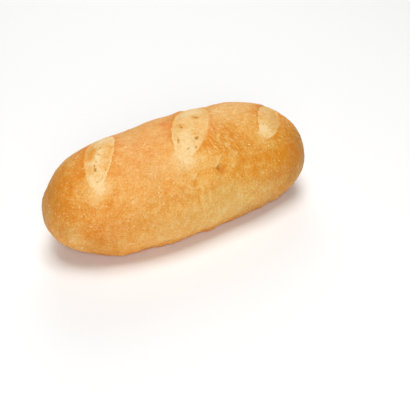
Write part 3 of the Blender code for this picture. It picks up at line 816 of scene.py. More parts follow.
def closed_faces(rows, rings):
    """The faces of a tube of rings with a point at each end, and their places on the unit map.

    Points are numbered as in_tube_order lists them. The map's first axis runs along the tube and its second
    round it. The first and last faces of each row are triangles, because one of their sides is a point.
    """
    inner = 2 + np.arange((rings - 2) * rows).reshape(rings - 2, rows).T
    number = np.column_stack([np.zeros(rows, int), inner, np.ones(rows, int)])
    ring, row = np.meshgrid(np.arange(rings - 1), np.arange(rows), indexing="ij")
    ring, row = ring[..., None] + (0, 0, 1, 1), row[..., None] + (0, 1, 1, 0)
    faces = number[row % rows, ring]
    places = np.stack([ring / (rings - 1), row / rows], axis=-1)
    places[0, :, 1, 1] = places[-1, :, 2, 1] = (row[0, :, 0] + 0.5) / rows
    first, last = [1, 2, 3], [2, 0, 1]
    faces = faces[0][:, first].tolist() + faces[1:-1].reshape(-1, 4).tolist() + faces[-1][:, last].tolist()
    parts = places[0][:, first], places[1:-1], places[-1][:, last]
    return faces, np.concatenate([part.ravel() for part in parts])


def make_piece(context, name, points, faces, material, values, unit_map=None):
    """A smooth mesh from points and faces, with one value for each point under each name in values."""
    mesh = bpy.data.meshes.new(name)
    mesh.from_pydata(points.tolist(), [], faces)
    for label, numbers in values.items():
        mesh.attributes.new(label, "FLOAT", "POINT").data.foreach_set("value", numbers.astype(np.float32))
    if unit_map is not None:
        mesh.uv_layers.new(name="OFBake").data.foreach_set("uv", unit_map.astype(np.float32))
    mesh.shade_smooth()
    mesh.materials.append(material)
    if mesh.validate():
        raise RuntimeError(f"{name} has faces that Blender can't keep")
    piece = bpy.data.objects.new(name, mesh)
    context.scene.collection.objects.link(piece)
    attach(piece, BODY)
    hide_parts(NODE)


def in_tube_order(grid):
    """What a grid of rows by rings holds, listed ring by ring, with the points of the two ends first."""
    rings = np.moveaxis(grid[:, 1:-1], 0, 1)
    return np.concatenate([grid[:1, 0], grid[:1, -1], rings.reshape(-1, *grid.shape[2:])])


def make_tube(context, name, material, grid, values):
    """A closed piece from a grid of rows by rings, with one value for each point under each name."""
    faces, unit_map = closed_faces(*grid.shape[:2])
    listed = {label: in_tube_order(value) for label, value in values.items()}
    make_piece(context, name, in_tube_order(grid), faces, material, listed, unit_map)


def patches(points, table):
    """The sum of bell-shaped patches round their middles."""
    x, y, z = points[..., 0] / MM, points[..., 1] / MM, points[..., 2] / MM
    total = np.zeros_like(x)
    for mid_x, mid_y, mid_z, reach, strength in table:
        total += strength * np.exp(-((x - mid_x) ** 2 + (y - mid_y) ** 2 + (z - mid_z) ** 2) / reach**2)
    return total


def lip_browning_and_shade(points):
    """How much darker the crust is in a narrow bell outside each lip: partly browner, partly painted shade.
    """
    x, y, z = np.moveaxis(points, -1, 0)
    total = np.zeros_like(x)
    for cut in CUTS:
        along, *insides = cut.rough_place(x, y)
        fade = np.clip(1.0 - along**2, 0.0, 1.0)
        for lip_brown_and_shade, inside in zip(cut.lip_brown_and_shade, insides):
            total += lip_brown_and_shade * fade * bell((inside + LIP_DARKENING_OFFSET) / LIP_DARKENING_REACH)
    return total * smooth_step((z - BELLY_HEIGHT) / CROWN_BLEND)


def browning_and_painted_shade(points):
    """The crust's tone: a base tone, browned patches and painted shade, the lips' edges and the foot."""
    z = points[..., 2]
    ragged = 1.0 + FOOT_RAGGEDNESS * gradient_noise(points, 6, 16)
    at_foot = FOOT_TONE * ragged * bell(z / FOOT_TONE_REACH) + UNDERSIDE_TONE * smooth_step(1.0 - z / MM)
    return np.clip(BASE_TONE + patches(points, BROWNED_AND_SHADED) + lip_browning_and_shade(points) + at_foot, 0.0, 1.0)


def baked_values(points, brown):
    """The values that every material of the bread reads at each point, given how brown it is there."""
    # brown carries the tone with its painted shade and highlights, and painted_shade mixes in black.
    tables = {"painted_shade": PAINTED_SHADE_PATCHES, "ruddy": RUDDY, "rough": WRINKLED}
    return {"brown": brown, **{label: patches(points, table) for label, table in tables.items()}}


def inlay_grid(half_length, left, right):
    """A lens as stations along it and rows across it, a little larger than the given one.

    Rows go across the top from left to right, and the last few come back as the underside. Returned are
    how far along and across each point lies, and how far it is sunk under the top.
    """
    half_length, left, right = half_length + DIVE_REACH, left + DIVE_REACH, right + DIVE_REACH
    stations = int(2.0 * half_length / INLAY_SPACING)
    top_rows = int((left + right) / INLAY_SPACING)
    even = np.linspace(-1.0, 1.0, stations)
    station = (1.0 - TIP_CROWDING) * even - TIP_CROWDING * np.cos(np.linspace(0.0, np.pi, stations))
    width = np.clip(1.0 - station**2, 0.0, None) ** CUT_ROUNDNESS
    under = np.linspace(1.0, 0.0, INLAY_UNDER_ROWS + 2)[1:-1]
    share = np.concatenate([np.linspace(0.0, 1.0, top_rows), under])[:, None]
    sunk = INLAY_THICKNESS * np.concatenate([np.zeros(top_rows), np.ones(INLAY_UNDER_ROWS)])[:, None]
    return station * half_length + 0.0 * share, (share * (left + right) - left) * width, sunk * width**2


def crumb_surface(cut, fit, crust, crumb):
    """The crumb of one cut as a closed pillow, with its place in the cut, its browning and its pores.

    The top is the body plus the relief that it shares with the crust, the swollen crumb and its own noise
    and ripples, minus its pores and minus a dive under the crust outside the cut.
    """
    along, across, sunk = inlay_grid(cut.half_length, cut.left, cut.right)
    middle = cut.middle()
    x = middle[0] + cut.along[0] * along + cut.along[1] * across
    y = middle[1] + cut.along[1] * along - cut.along[0] * across
    turn, angle = crown_place(x, y)
    points = body(turn, angle)
    _, from_left, from_right = cut.rough_place(x, y)
    depth = np.minimum(from_left, from_right)
    inside = smooth_step(depth / DIVE_REACH)
    painted_pore_shade, hollow = crumb_pores(cut, points, crumb)
    near_tip = smooth_step(-along / cut.half_length - 0.25)
    waver = RIPPLE_WAVER * gradient_noise(points, 5, 24)
    ripples = crumb.ripple_height * np.sin(2.0 * np.pi * (depth + waver) / RIPPLE_LENGTH) * near_tip
    own = (fine_relief(points, crumb, CRUMB_LAYERS) + ripples) * inside - hollow
    height = common_relief(points, cut.crumb_height(x, y)) + crust_grain(points, crust) * (1.0 - inside) + own
    dive = DIVE_DEPTH * smooth_step(-depth / DIVE_REACH)
    pillow = points + normals(turn, angle) * (height - dive - sunk)[..., None]
    values = baked_values(points, crumb_browning_and_painted_light(cut, points))
    values["ruddy"] = values["ruddy"] * (1.0 - 0.8 * inside)
    # pore holds how much shade is painted in the crumb's open pores.
    return fit(pillow), {**values, "lens": depth, "pore": painted_pore_shade}


def crumb_pores(cut, points, crumb):
    """The open bubbles in a cut's crumb: how near the middle of one a point lies, which sets the shade
    painted there, and how deep it lies.

    A pore is a bowl over an ellipse that noise has warped: its depth times e to the minus fourth power of
    the distance from its middle, in radii. The named pores come first, and seeded small ones follow.
    """
    draw = np.random.default_rng(cut.seed)
    count = crumb.small_pores
    most_along, most_across = SMALL_PORE_SPREAD
    along = draw.uniform(-most_along, most_along, count)
    across = draw.uniform(-most_across, most_across, count) * np.sqrt(1.0 - along**2)
    reach = np.where(across < 0.0, cut.left, cut.right)
    centre = cut.middle() + np.outer(along * cut.half_length, cut.along)
    centre += np.outer(across * reach, [cut.along[1], -cut.along[0]])
    size = draw.uniform(*SMALL_PORE_SIZES, count)
    small = np.column_stack([centre / MM, size * draw.uniform(*SMALL_PORE_STRETCH, count), size,
                             SMALL_PORE_DEPTH * size, draw.uniform(0.0, 180.0, count)])
    warped_x = (points[..., 0] + crumb.warp * gradient_noise(points, PORE_WARP_CELL, 25)) / MM
    warped_y = (points[..., 1] + crumb.warp * gradient_noise(points, PORE_WARP_CELL, 26)) / MM
    painted_pore_shade = np.zeros(points.shape[:-1])
    hollow = np.zeros(points.shape[:-1])
    for pore_x, pore_y, half_length, half_width, depth, slant in [*cut.pores, *small]:
        run_x = warped_x - pore_x
        run_y = warped_y - pore_y
        turn = np.radians(slant)
        far = np.hypot((run_x * np.cos(turn) + run_y * np.sin(turn)) / half_length,
                       (run_y * np.cos(turn) - run_x * np.sin(turn)) / half_width)
        painted_pore_shade = np.maximum(painted_pore_shade, bell(0.75 * far) * min(1.0, 0.3 + 0.6 * depth))
        hollow = np.maximum(hollow, crumb.pore_depth * depth * MM * bell(far**2))
    return painted_pore_shade, hollow


def front_place(x, z):
    """The turn and angle of the body's front at a point seen from there, as crown_place finds them."""
    station = np.clip(x / (LENGTH / 2.0), -1.0, 1.0)
    rise = taper(station, PROFILE_ROUNDNESS, NEARLY_NOTHING)
    crown = (HEIGHT - BELLY_HEIGHT) * (1.0 - CROWN_FALL * station) * rise
    upwards = np.clip((z - BELLY_HEIGHT) / crown, 0.0, 1.0)
    return np.arccos(-station), np.pi - np.arcsin(upwards ** (CROWN_ROUNDNESS / 2.0))


def fold_surface(fit, crust):
    """The fold as a closed pillow: crust with the fold's relief, which dives under the crust round it."""
    along, across, sunk = inlay_grid(FOLD_HALF_LENGTH, FOLD_HALF_HEIGHT, FOLD_HALF_HEIGHT)
    turn, angle = front_place(FOLD_X + along, FOLD_Z - across)
    points = body(turn, angle)
    depth = fold_depth(points)
    inside = smooth_step(depth / FOLD_SHORE)
    height, brown, painted_shade = fold_relief(points[..., 0], points[..., 2])
    relief = common_relief(points, 0.0) + crust_grain(points, crust) + height * inside
    dive = DIVE_DEPTH * smooth_step(-depth / DIVE_REACH)
    pillow = points + normals(turn, angle) * (relief - dive - sunk)[..., None] + foot(points)
    # The fold's tone carries its painted shade and highlight, and the pit's painted shade mixes in black.
    values = baked_values(points, browning_and_painted_shade(points) + brown * inside)
    values["painted_shade"] = values["painted_shade"] + painted_shade * inside
    return fit(pillow), values


def crumb_browning_and_painted_light(cut, points):
    """How brown the crumb is: palest along the middle of the burst, at the right lip and at the front tip."""
    along, from_left, from_right = cut.rough_place(points[..., 0], points[..., 1])
    share = np.clip(from_left / np.maximum(from_left + from_right, LIP_WIDTH), 0.0, 1.0)
    pale = 0.0
    # The paleness at the right lip is partly a painted highlight.
    for place, (where, reach, amount) in ((share, MIDDLE_PALE), (from_right, LIP_PALE_AND_HIGHLIGHT)):
        pale = pale + amount * bell((place - where) / reach)
    tip, run, amount = TIP_PALE
    tone = cut.tan - pale - amount * smooth_step((tip - along) / run) + patches(points, CRUMB_PATCHES)
    to_tip = (1.0 - np.abs(along)) * cut.half_length
    own = smooth_step(from_left / LEFT_LIP_SOFTNESS) * smooth_step(from_right / cut.soft)
    own = own * smooth_step(to_tip / (TIP_SOFTNESS * cut.soft))
    return tone * own + browning_and_painted_shade(points) * (1.0 - own)


def blister_places(crust):
    """Seeded places on the crust, as turns and angles, more of them towards both ends of the loaf."""
    turn, angle = crust_grid()
    points = body(turn, angle)
    x, _, z = np.moveaxis(points[:-1, :-1], -1, 0)
    area = np.linalg.norm(np.cross(np.diff(points, axis=1)[:-1], np.diff(points, axis=0)[:, :-1]), axis=-1)
    crowd = MIDDLE_CROWD + smooth_step((LEFT_CROWD_START - x) / LEFT_CROWD_RUN)
    crowd = crowd + RIGHT_CROWD * smooth_step(x / RIGHT_CROWD_RUN)
    clear = (nearest_cut(points) < -BLISTER_CUT_GAP) & (fold_depth(points) < -BLISTER_FOLD_GAP)
    above = smooth_step((z - BLISTER_FOOT) / BLISTER_FOOT_RUN)
    chance = (area * crowd * clear[:-1, :-1] * above).ravel()
    draw = np.random.default_rng(BLISTER_SEEDS[0])
    chosen = draw.choice(chance.size, crust.blister_count, p=chance / chance.sum())
    row, ring = np.unravel_index(chosen, area.shape)
    down, on = draw.uniform(size=(2, crust.blister_count))
    spot_turn = turn[row, ring] + on * (turn[row, ring + 1] - turn[row, ring])
    spot_angle = angle[row, ring] + down * (angle[row + 1, ring] - angle[row, ring])
    return spot_turn, spot_angle


def blister_domes(crust, fit):
    """Flat domes on the crust, as one grid of points each, and a seeded number for the tone of each.

    A dome is turned from the blister's profile and stretched one way in the crust's own plane, mostly up
    and down the loaf's sides. The plane comes from small steps along the surface and round it.
    """
    turn, angle = blister_places(crust)
    centre = crust_surface(turn, angle, crust)
    ahead = crust_surface(turn + BLISTER_STEP, angle, crust) - centre
    up = np.cross(crust_surface(turn, angle + BLISTER_STEP, crust) - centre, ahead)
    up /= np.linalg.norm(up, axis=1, keepdims=True)
    ahead /= np.linalg.norm(ahead, axis=1, keepdims=True)
    axes = np.stack([ahead, np.cross(up, ahead), up], axis=1)
    draw = np.random.default_rng(BLISTER_SEEDS[1])
    count = len(turn)
    radius = crust.blister_radius * np.minimum(0.5 + draw.gamma(2.0, 0.25, count), BLISTER_LARGEST)
    height = radius * draw.uniform(*BLISTER_HEIGHTS, count)
    stretch = draw.uniform(*BLISTER_STRETCHES, count)
    heading = np.pi / 2.0 + draw.normal(0.0, BLISTER_SLANT, count)
    radius, height, stretch, heading = (value[:, None, None] for value in (radius, height, stretch, heading))
    out, rise = np.array(BLISTER_PROFILE).T
    swing = np.arange(BLISTER_SIDES)[:, None] * 2.0 * np.pi / BLISTER_SIDES
    long_way = out * np.cos(swing) * radius * stretch
    short_way = out * np.sin(swing) * radius / stretch
    spread = np.stack([long_way * np.cos(heading) - short_way * np.sin(heading),
                       long_way * np.sin(heading) + short_way * np.cos(heading),
                       (rise + 0.0 * swing) * height], axis=-1)
    domes = fit(centre[:, None, None] + np.einsum("bsra,bax->bsrx", spread, axes))
    kept = ((domes > LOW) & (domes < HIGH)).all(axis=(1, 2, 3))
    return domes[kept], draw.uniform(size=count)[kept]


class Value:
    """A number in a node tree, to which Python's own signs add Math nodes."""

    def __init__(self, nodes, socket):
        self.nodes = nodes
        self.socket = socket

    def __add__(self, other):
        return self.nodes.math("ADD", self, other)

    def __mul__(self, other):
        return self.nodes.math("MULTIPLY", self, other)

    def __rsub__(self, other):
        return self.nodes.math("SUBTRACT", other, self)


class Nodes:
    """Short words for the nodes of one material. Sizes and distances are in millimetres."""

    def __init__(self, name):
        self.material = bpy.data.materials.new(name)
        self.material.use_nodes = True
        self.tree = self.material.node_tree
        self.shader = self.tree.nodes["Principled BSDF"]
        self.place = self.node("ShaderNodeTexCoord").outputs["Object"]

    def node(self, kind, **settings):
        """A new node with its settings."""
        node = self.tree.nodes.new(kind)
        for label, value in settings.items():
            setattr(node, label, value)
        return node

    def feed(self, socket, value):
        """A link from another socket, or a plain value."""
        value = getattr(value, "socket", value)
        if isinstance(value, bpy.types.NodeSocket):
            self.tree.links.new(value, socket)
        else:
            socket.default_value = value

    def math(self, operation, *values):
        """A Math node's result."""
        node = self.node("ShaderNodeMath", operation=operation)
        for socket, value in zip(node.inputs, values):
            self.feed(socket, value)
        return Value(self, node.outputs[0])

    def carry(self, value, low, high, to_low=0.0, to_high=1.0):
        """A value carried from one range to another along an even S, and held at the ends."""
        node = self.node("ShaderNodeMapRange", interpolation_type="SMOOTHSTEP")
        for socket, number in zip(node.inputs, (value, low, high, to_low, to_high)):
            self.feed(socket, number)
        return Value(self, node.outputs[0])

    def texture(self, kind, sizes):
        """A texture in object coordinates, with its lumps or cells stretched to a size along each axis."""
        mapping = self.node("ShaderNodeMapping", vector_type="TEXTURE")
        self.feed(mapping.inputs["Vector"], self.place)
        mapping.inputs["Scale"].default_value = np.broadcast_to(sizes, 3) * MM
        texture = self.node(kind)
        self.feed(texture.inputs["Vector"], mapping.outputs[0])
        texture.inputs["Scale"].default_value = 1.0
        return texture

    def noise(self, sizes, detail, weight):
        """Noise with lumps of the given sizes, from minus to plus about half of its weight."""
        texture = self.texture("ShaderNodeTexNoise", sizes)
        texture.inputs["Detail"].default_value = detail
        return self.math("MULTIPLY_ADD", texture.outputs[0], weight, -0.5 * weight)

    def specks(self, sizes, near, far, share):
        """Small specks in a share of a lattice's cells: 1 from their middles to near, and 0 from far."""
        texture = self.texture("ShaderNodeTexVoronoi", sizes)
        draw = self.node("ShaderNodeSeparateColor")
        self.feed(draw.inputs[0], texture.outputs["Color"])
        chosen = self.carry(draw.outputs[0], 0.9 - share, 1.1 - share)
        return self.carry(texture.outputs["Distance"], near, far, 1.0, 0.0) * chosen

    def ramp(self, value, stops):
        """A colour ramp through (place, colour) stops."""
        node = self.node("ShaderNodeValToRGB")
        elements = node.color_ramp.elements
        for place, _ in stops[1:-1]:
            elements.new(place)
        for element, (place, colour) in zip(elements, stops):
            element.position = place
            element.color = (*colour, 1.0)
        self.feed(node.inputs[0], value)
        return node.outputs[0]

    def mix(self, share, first, second):
        """Two colours mixed by a share."""
        node = self.node("ShaderNodeMix", data_type="RGBA")
        for socket, value in zip((node.inputs[0], node.inputs[6], node.inputs[7]), (share, first, second)):
            self.feed(socket, value)
        return node.outputs[2]

    def vector(self, operation, first, second):
        """A Vector Math node's result, a vector or a number."""
        node = self.node("ShaderNodeVectorMath", operation=operation)
        self.feed(node.inputs[0], first)
        self.feed(node.inputs[1], second)
        return node.outputs["Value" if operation in ("DOT_PRODUCT", "DISTANCE") else "Vector"]

    def attribute(self, name):
        """The number that a mesh holds at each point under a name."""
        return Value(self, self.node("ShaderNodeAttribute", attribute_name=name).outputs["Fac"])

    def distance(self, first, second):
        """How far two places are from each other."""
        return Value(self, self.vector("DISTANCE", first, second))

    def skin(self, colour, roughness, gloss):
        """The shader's colour, how matte it is and how much light it mirrors."""
        for label, value in (("Base Color", colour), ("Roughness", roughness), ("Specular IOR Level", gloss)):
            self.feed(self.shader.inputs[label], value)

    def bump(self, height):
        """Relief too fine for the mesh, from a height in metres."""
        node = self.node("ShaderNodeBump")
        node.inputs["Distance"].default_value = 1.0
        self.feed(node.inputs["Height"], height)
        self.feed(self.shader.inputs["Normal"], node.outputs[0])


def toast(nodes, tone, colours):
    """The colour of bread by how far it has browned, from cream through gold and orange to brown.

    Where it is ruddy, green gives way to red and blue, and where shade is painted, as much black is mixed in.
    """
    palette = (colours.cream, colours.straw, colours.gold, colours.amber, colours.brown)
    baked = nodes.ramp(tone, [(number / 4.0, colour) for number, colour in enumerate(palette)])
    ruddy = nodes.attribute("ruddy")
    less = nodes.math("MULTIPLY_ADD", ruddy, -0.6, 1.0)
    more = nodes.math("MULTIPLY_ADD", ruddy, 0.4, 1.0)
    tint = nodes.node("ShaderNodeCombineXYZ")
    for socket, value in zip(tint.inputs, (more, less, more)):
        nodes.feed(socket, value)
    tinted = nodes.vector("MULTIPLY", baked, tint.outputs[0])
    return nodes.mix(nodes.attribute("painted_shade"), tinted, (0.0, 0.0, 0.0, 1.0))


def crust_clutter(nodes):
    """How much browner or paler each spot of the crust is than its place, and its fine relief.

    Noise of several sizes adds up. Flecks give way to strokes that run up and down the sides on the right
    half and where the crust has wrinkled, with pale streaks among them, and small pale pimples stand all
    over. What stands up is paler.
    """
    rough = nodes.attribute("rough")
    split = nodes.node("ShaderNodeSeparateXYZ")
    nodes.feed(split.inputs[0], nodes.place)
    right = nodes.carry(split.outputs[0], 5 * MM, 45 * MM)
    flecks = nodes.noise(2.8, 2.0, 0.40) * (1.0 - right)
    strokes = nodes.noise((2.2, 3.6, 6.0), 2.0, 0.55) * right
    fine = flecks + strokes + nodes.noise((3.0, 6.5, 9), 1.5, 1.3) * rough
    grain = nodes.noise(1.5, 2.0, 1.15)
    clouds = nodes.noise(8, 3.0, 0.70)
    drifts = nodes.noise(24, 1.0, 0.25)
    streaks = nodes.specks((2.4, 4, 6), 0.04, 0.20, 0.16) * (right + rough)
    pale = nodes.specks(2.4, 0.05, 0.20, 0.12) + streaks
    coarse = nodes.carry(right, 0.0, 1.0, -0.20 * MM, -0.50 * MM)
    relief = fine * coarse + pale * (0.14 * MM) + grain * (-0.26 * MM)
    return fine + grain + clouds + drifts + pale * -0.65, relief


def bread_tone(nodes, colours, clutter):
    """How brown the bread is at each point: the browner it has baked there, the more uneven it is."""
    brown = nodes.attribute("brown")
    return brown + clutter * (nodes.carry(brown, 0.15, 0.80, 0.75, 1.30) * colours.mottling)


def hairlines(nodes):
    """The hairline cracks and dark specks of the crust: how dark they are at each point.

    A crack is where the distance from its line, in coordinates that noise has bent, is nearly nothing.
    """
    waver = nodes.texture("ShaderNodeTexNoise", 2.2).outputs["Color"]
    bend = nodes.vector("MULTIPLY", nodes.vector("SUBTRACT", waver, (0.5,) * 3), (2.4 * MM,) * 3)
    place = nodes.vector("ADD", nodes.place, bend)
    marks = []
    for start, end in CRACKS:
        start, run = Vector(start) * MM, (Vector(end) - Vector(start)) * MM
        offset = nodes.vector("SUBTRACT", place, start)
        share = nodes.math("DIVIDE", nodes.vector("DOT_PRODUCT", offset, run), run.length_squared)
        along = nodes.node("ShaderNodeVectorMath", operation="SCALE")
        along.inputs[0].default_value = run
        nodes.feed(along.inputs["Scale"], nodes.math("MINIMUM", nodes.math("MAXIMUM", share, 0.0), 1.0))
        away = nodes.distance(offset, along.outputs[0])
        marks.append(nodes.carry(away, 0.10 * MM, 0.75 * MM, CRACK_SHADE, 0.0))
    for *spot, radius, strength in SPECKS:
        away = nodes.distance(nodes.place, Vector(spot) * MM)
        marks.append(nodes.carry(away, 0.3 * radius * MM, radius * MM, strength, 0.0))
    return sum(marks[1:], marks[0])


def crust_finish(colours):
    """Baked crust: browned in cloudy patches, with pale pimples, hairline cracks and dark specks."""
    nodes = Nodes("baked_crust")
    clutter, relief = crust_clutter(nodes)
    marks = hairlines(nodes)
    baked = toast(nodes, bread_tone(nodes, colours, clutter), colours)
    nodes.skin(nodes.mix(marks, baked, (*colours.pore, 1.0)), colours.crust_roughness, colours.gloss)
    nodes.bump(relief + marks * (-0.4 * MM))
    return nodes.material


def crumb_finish(colours):
    """Burst crumb: pale and velvety with golden blotches, and olive shade painted into its open pores."""
    nodes = Nodes("burst_crumb")
    clutter, relief = crust_clutter(nodes)
    inside = nodes.carry(nodes.attribute("lens"), 0.0, 3 * MM)
    outside = 1.0 - inside
    wool = nodes.noise(4.5, 2.0, 0.80) + nodes.noise(1.5, 2.0, 1.10)
    pore = nodes.attribute("pore")
    tone = bread_tone(nodes, colours, clutter * outside + wool * inside)
    tone = tone + nodes.carry(pore, 0.06, 0.40, 0.0, 0.22)
    # Painted shade in the open pores, with the hairline cracks and specks darkened alike.
    shade = nodes.math("MAXIMUM", nodes.carry(pore, 0.32, 0.90, 0.0, 0.72), hairlines(nodes))
    skin = nodes.mix(shade, toast(nodes, tone, colours), (*colours.pore, 1.0))
    nodes.skin(skin, colours.crumb_roughness, colours.gloss)
    nodes.bump(relief * outside + wool * (inside * (-0.16 * MM)))
    return nodes.material


def blister_finish(colours):
    """Thin blisters of crust, paler than the crust round them and a little glossier."""
    nodes = Nodes("blister_skin")
    clutter, _ = crust_clutter(nodes)
    nodes.skin(toast(nodes, bread_tone(nodes, colours, clutter), colours), 0.40, 0.4)
    return nodes.material


def floor_finish(studio):
    """A plain pale floor that fades into the backdrop far from the loaf, as the camera sees it."""
    nodes = Nodes("plain_floor")
    nodes.skin((*studio.floor, 1.0), 0.9, 0.5)
    glow = nodes.node("ShaderNodeEmission")
    glow.inputs["Color"].default_value = ROOM_COLOUR
    glow.inputs["Strength"].default_value = studio.backdrop
    away = nodes.distance(nodes.place, (0.0, 0.0, 0.0))
    seen = nodes.node("ShaderNodeLightPath").outputs["Is Camera Ray"]
    blend = nodes.node("ShaderNodeMixShader")
    nodes.feed(blend.inputs[0], nodes.carry(away, *FLOOR_FADE) * seen)
    nodes.feed(blend.inputs[1], nodes.shader.outputs[0])
    nodes.feed(blend.inputs[2], glow.outputs[0])
    nodes.feed(nodes.tree.nodes["Material Output"].inputs["Surface"], blend.outputs[0])
    return nodes.material


def length_property(name, description, default, most):
    """A length that a user may change."""
    return bpy.props.FloatProperty(
        name=name, description=description, default=default, min=0.0, max=most, unit="LENGTH", precision=5)


def share_property(name, description, default, most=1.0):
    """A share or a strength that a user may change."""
    return bpy.props.FloatProperty(
        name=name, description=description, default=default, min=0.0, max=most, subtype="FACTOR")


def count_property(name, description, default, least, most):
    """A number of small things that a user may change."""
    return bpy.props.IntProperty(name=name, description=description, default=default, min=least, max=most)


def colour_property(name, description, default):
    """A linear colour that a user may change."""
    return bpy.props.FloatVectorProperty(
        name=name, description=description, default=default, min=0.0, max=1.0, subtype="COLOR", size=3)


def angle_property(name, description, degrees):
    """An angle that a user may change."""
    return bpy.props.FloatProperty(
        name=name, description=description, default=np.radians(degrees), subtype="ANGLE")


def power_property(name, description, default):
    """The power of a light that a user may change."""
    return bpy.props.FloatProperty(name=name, description=description, default=default, unit="POWER")


class BreadCrust(bpy.types.PropertyGroup):
    """The sizes of the crust's relief."""

    lump_height: length_property("Lumps", "Height of the crust's soft lumps", 0.30 * MM, 3 * MM)
    dimple_height: length_property("Dimples", "Height of the crust's small dimples", 0.22 * MM, 3 * MM)
    grain_height: length_property("Grain", "Height of the crust's fine grain", 0.10 * MM, 1 * MM)
    crease_height: length_property("Creases", "Height of the creases on both ends", 0.34 * MM, 2 * MM)
    crinkle_height: length_property("Crinkle", "Height of the crinkle round the foot", 1.1 * MM, 2 * MM)
    wrinkle_height: length_property("Wrinkles", "Height of those beside the middle cut", 0.7 * MM, 2 * MM)
    blister_count: count_property("Blisters", "How many blisters stand on the crust", 3400, 1, 4000)
    blister_radius: length_property("Blister radius", "Middling radius of a blister", 0.75 * MM, 3 * MM)


class BreadCrumb(bpy.types.PropertyGroup):
    """The sizes of the burst crumb's relief."""

    lump_height: length_property("Lumps", "Height of the crumb's soft lumps", 0.40 * MM, 3 * MM)
    wool_height: length_property("Wool", "Height of the crumb's woolly relief", 0.22 * MM, 1 * MM)
    grain_height: length_property("Grain", "Height of the crumb's fine grain", 0.07 * MM, 1 * MM)
    ripple_height: length_property("Ripples", "Height of the ripples at a cut's tip", 0.07 * MM, 1 * MM)
    warp: length_property("Pore warp", "How far the pores are from round", 0.9 * MM, 3 * MM)
    pore_depth: share_property("Pore depth", "How deep the pores are as a share of their own", 1.0, 1.2)
    small_pores: count_property("Small pores", "How many small pores each cut has", 14, 0, 200)


class BreadColours(bpy.types.PropertyGroup):
    """The colours of the bread, from the palest crumb to the brownest crust."""

    cream: colour_property("Cream", "The palest crumb", (0.87, 0.62, 0.305))
    straw: colour_property("Straw", "Lightly baked crust", (0.82, 0.485, 0.162))
    gold: colour_property("Gold", "Evenly baked crust", (0.78, 0.377, 0.082))
    amber: colour_property("Amber", "Well baked crust", (0.745, 0.292, 0.038))
    brown: colour_property("Brown", "The brownest crust", (0.71, 0.227, 0.014))
    # pore is the colour of the painted shade in the crumb's open pores, and of the crust's cracks and specks.
    pore: colour_property("Pore", "The shade inside open pores", (0.31, 0.175, 0.032))
    mottling: share_property("Mottling", "How unevenly the bread has browned", 1.0, 3.0)
    gloss: share_property("Gloss", "How much light the bread mirrors", 0.15)
    crust_roughness: share_property("Crust roughness", "How matte the crust is", 0.52)
    crumb_roughness: share_property("Crumb roughness", "How matte the crumb is", 0.70)


class BreadStudio(bpy.types.PropertyGroup):
    """The camera, the lights and the floor."""

    azimuth: angle_property("Azimuth", "The camera's place round the loaf, from straight in front", -35.4)
    elevation: angle_property("Elevation", "The camera's height over the floor as an angle", 34.8)
    distance: length_property("Distance", "From the camera to the point that it looks at", 0.7524, 10.0)
    aim: bpy.props.FloatVectorProperty(
        name="Aim", description="The point that the camera looks at", default=(0.0283, -0.0119, 0.0),
        subtype="TRANSLATION", unit="LENGTH")
    lens: bpy.props.FloatProperty(
        name="Lens", description="The camera's focal length", default=61.46, unit="CAMERA")
    overhead_power: power_property("Overhead light", "Power of the soft light overhead", 46.0)
    front_power: power_property("Front light", "Power of the soft light beside the camera", 37.5)
    back_power: power_property("Back light", "Power of the soft light behind the loaf", 21.0)
    surround: share_property("Surround", "Brightness that the room lends to the loaf", 0.05)
    backdrop: share_property("Backdrop", "Brightness that the room shows to the camera", 0.94)
    floor: colour_property("Floor", "The plain floor", (0.96, 0.96, 0.955))


class BREAD_OT_bake_crust(bpy.types.Operator):
    """Make the crust over the whole loaf, with the cavities under its cuts"""

    bl_idname = "bread.bake_crust"
    bl_label = "Bake crust"

    def execute(self, context):
        crust = context.scene.bread_crust
        turn, angle, surface, fit = fitted_crust(crust)
        points = body(turn, angle)
        finish = crust_finish(context.scene.bread_colours)
        make_tube(context, "crust", finish, fit(surface), baked_values(points, browning_and_painted_shade(points)))
        return {"FINISHED"}


class BREAD_OT_open_cuts(bpy.types.Operator):
    """Fill the three cuts with the crumb that has burst out of them"""

    bl_idname = "bread.open_cuts"
    bl_label = "Open cuts"

    def execute(self, context):
        scene = context.scene
        *_, fit = fitted_crust(scene.bread_crust)
        finish = crumb_finish(scene.bread_colours)
        for cut in CUTS:
            crumb = crumb_surface(cut, fit, scene.bread_crust, scene.bread_crumb)
            make_tube(context, cut.name, finish, *crumb)
        return {"FINISHED"}


class BREAD_OT_tuck_fold(bpy.types.Operator):
    """Let the tucked fold into the front of the crust"""

    bl_idname = "bread.tuck_fold"
    bl_label = "Tuck fold"

    def execute(self, context):
        scene = context.scene
        *_, fit = fitted_crust(scene.bread_crust)
        finish = bpy.data.materials.get("baked_crust") or crust_finish(scene.bread_colours)
        make_tube(context, "fold", finish, *fold_surface(fit, scene.bread_crust))
        return {"FINISHED"}


class BREAD_OT_raise_blisters(bpy.types.Operator):
    """Scatter small blisters over the crust"""

    bl_idname = "bread.raise_blisters"
    bl_label = "Raise blisters"

    def execute(self, context):
        crust = context.scene.bread_crust
        *_, fit = fitted_crust(crust)
        domes, tone = blister_domes(crust, fit)
        count, sides, rings = domes.shape[:3]
        one, _ = closed_faces(sides, rings)
        points = np.concatenate([in_tube_order(dome) for dome in domes])
        step = len(points) // count
        faces = [[point + step * number for point in face] for number in range(count) for face in one]
        paler = BLISTER_PALENESS * np.repeat(tone, step) ** 3
        values = baked_values(points, browning_and_painted_shade(points) + BLISTER_TONE - paler)
        make_piece(context, "blisters", points, faces, blister_finish(context.scene.bread_colours), values)
        return {"FINISHED"}


